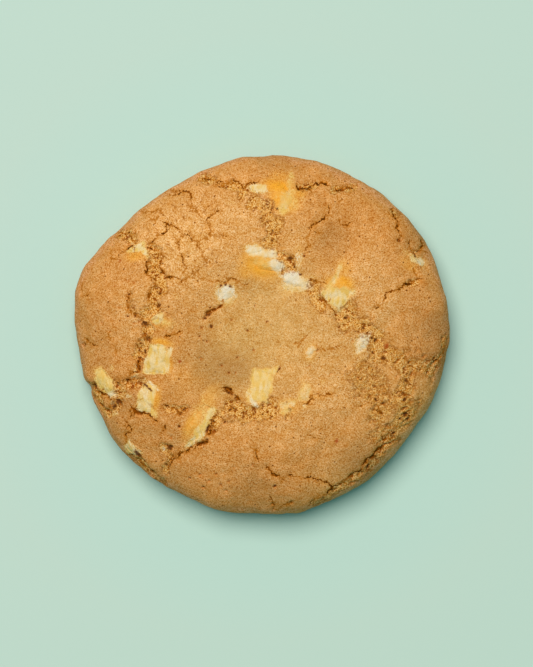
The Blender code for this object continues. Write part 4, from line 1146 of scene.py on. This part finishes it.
def makeFloor():
    # matt mint paper, with a painted fall of light that leaves it a little paler at the far left, and a
    # painted tint near the cookie that takes out the warm light it throws
    bm = bmesh.new()
    bmesh.ops.create_grid(bm, x_segments=1, y_segments=1, size=floorSizes["side"] / 2)
    bmesh.ops.translate(bm, vec=(0, 0, -floorSizes["drop"]), verts=bm.verts)
    floor = addPiece("floor", bm)
    material = bpy.data.materials.new("mattPaper")
    material.use_nodes = True
    tree = material.node_tree
    shader = tree.nodes["Principled BSDF"]
    place = addNode(tree, "ShaderNodeTexCoord", output="Object")
    start, end = (Vector(spot) for spot in floorSizes["fade"])
    run = (end - start) / (end - start).length_squared
    along = {0: place, 1: (*run, 0)}
    along = addNode(tree, "ShaderNodeVectorMath", {"operation": "DOT_PRODUCT"}, along, "Value")
    share = addNode(tree, "ShaderNodeMath", {"operation": "SUBTRACT"}, {0: along, 1: run.dot(start)})
    colours = {0: share, 6: hexColour(floorSizes["farColour"]), 7: hexColour(floorSizes["nearColour"])}
    paper = addNode(tree, "ShaderNodeMix", {"data_type": "RGBA"}, colours, 2)
    away = addNode(tree, "ShaderNodeVectorMath", {"operation": "LENGTH"}, {0: place}, "Value")
    end, start = floorSizes["tintReach"]
    near = addNode(tree, "ShaderNodeMapRange", {}, {"Value": away, "From Min": start, "From Max": end})
    tint = {0: near, 6: paper, 7: (*floorSizes["nearTint"], 1)}
    paper = addNode(tree, "ShaderNodeMix", {"data_type": "RGBA", "blend_type": "MULTIPLY"}, tint, 2)
    tree.links.new(paper, shader.inputs["Base Color"])
    shader.inputs["Roughness"].default_value = floorSizes["roughness"]
    shader.inputs["Specular IOR Level"].default_value = floorSizes["shine"]
    floor.data.materials.append(material)
    return floor


makeFloor()
print("floor made")

lightSizes = {
    "tilt": 20,                     # degrees from straight above
    "from": 114,                    # direction it comes from: 90 is the picture's top, 180 its left
    "width": 38,                    # degrees across, for the soft edge of the shadow
    "strength": 3,
    "colour": "FFF1EF",
    "height": 0.5,
    "sky": "58EFFF",                # mint paper all round gives the shadows their teal
    "skyStrength": 0.22,
}

softLight = bpy.data.lights.new("softLight", "SUN")
softLight.angle = math.radians(lightSizes["width"])
softLight.energy = lightSizes["strength"]
softLight.color = hexColour(lightSizes["colour"])[:3]
lamp = bpy.data.objects.new("softLight", softLight)
lamp.rotation_euler = (math.radians(lightSizes["tilt"]), 0, math.radians(lightSizes["from"] + 90))
lamp.location = (0, 0, lightSizes["height"])
bpy.context.scene.collection.objects.link(lamp)

world = bpy.data.worlds.new("paleRoom")
world.use_nodes = True
sky = world.node_tree.nodes["Background"]
sky.inputs["Color"].default_value = hexColour(lightSizes["sky"])
sky.inputs["Strength"].default_value = lightSizes["skyStrength"]
bpy.context.scene.world = world
bpy.context.scene.view_settings.view_transform = "Standard"

cameraSizes = {
    "picture": (533, 667),          # pixels
    "cookieMiddle": (261.5, 335),   # pixel that the cookie's middle falls on
    "cookieWidth": 375,             # pixels
    "realWidth": 95 * mm,
    "distance": 850 * mm,
    "film": 36,                     # Blender's film width in mm, on the picture's longer side
}

camera = bpy.data.cameras.new("camera")
perPixel = cameraSizes["realWidth"] / cameraSizes["cookieWidth"]
pictureWidth, pictureHeight = cameraSizes["picture"]
middleX, middleY = cameraSizes["cookieMiddle"]
distance = cameraSizes["distance"] - bodySizes["widestHeight"] * mm
camera.sensor_width = cameraSizes["film"]
camera.lens = cameraSizes["film"] * distance / (pictureHeight * perPixel)
cameraObject = bpy.data.objects.new("camera", camera)
cameraObject.location = (
    (pictureWidth / 2 - middleX) * perPixel,
    (middleY - pictureHeight / 2) * perPixel,
    cameraSizes["distance"],
)
bpy.context.scene.collection.objects.link(cameraObject)
bpy.context.scene.camera = cameraObject
print("light and camera set")
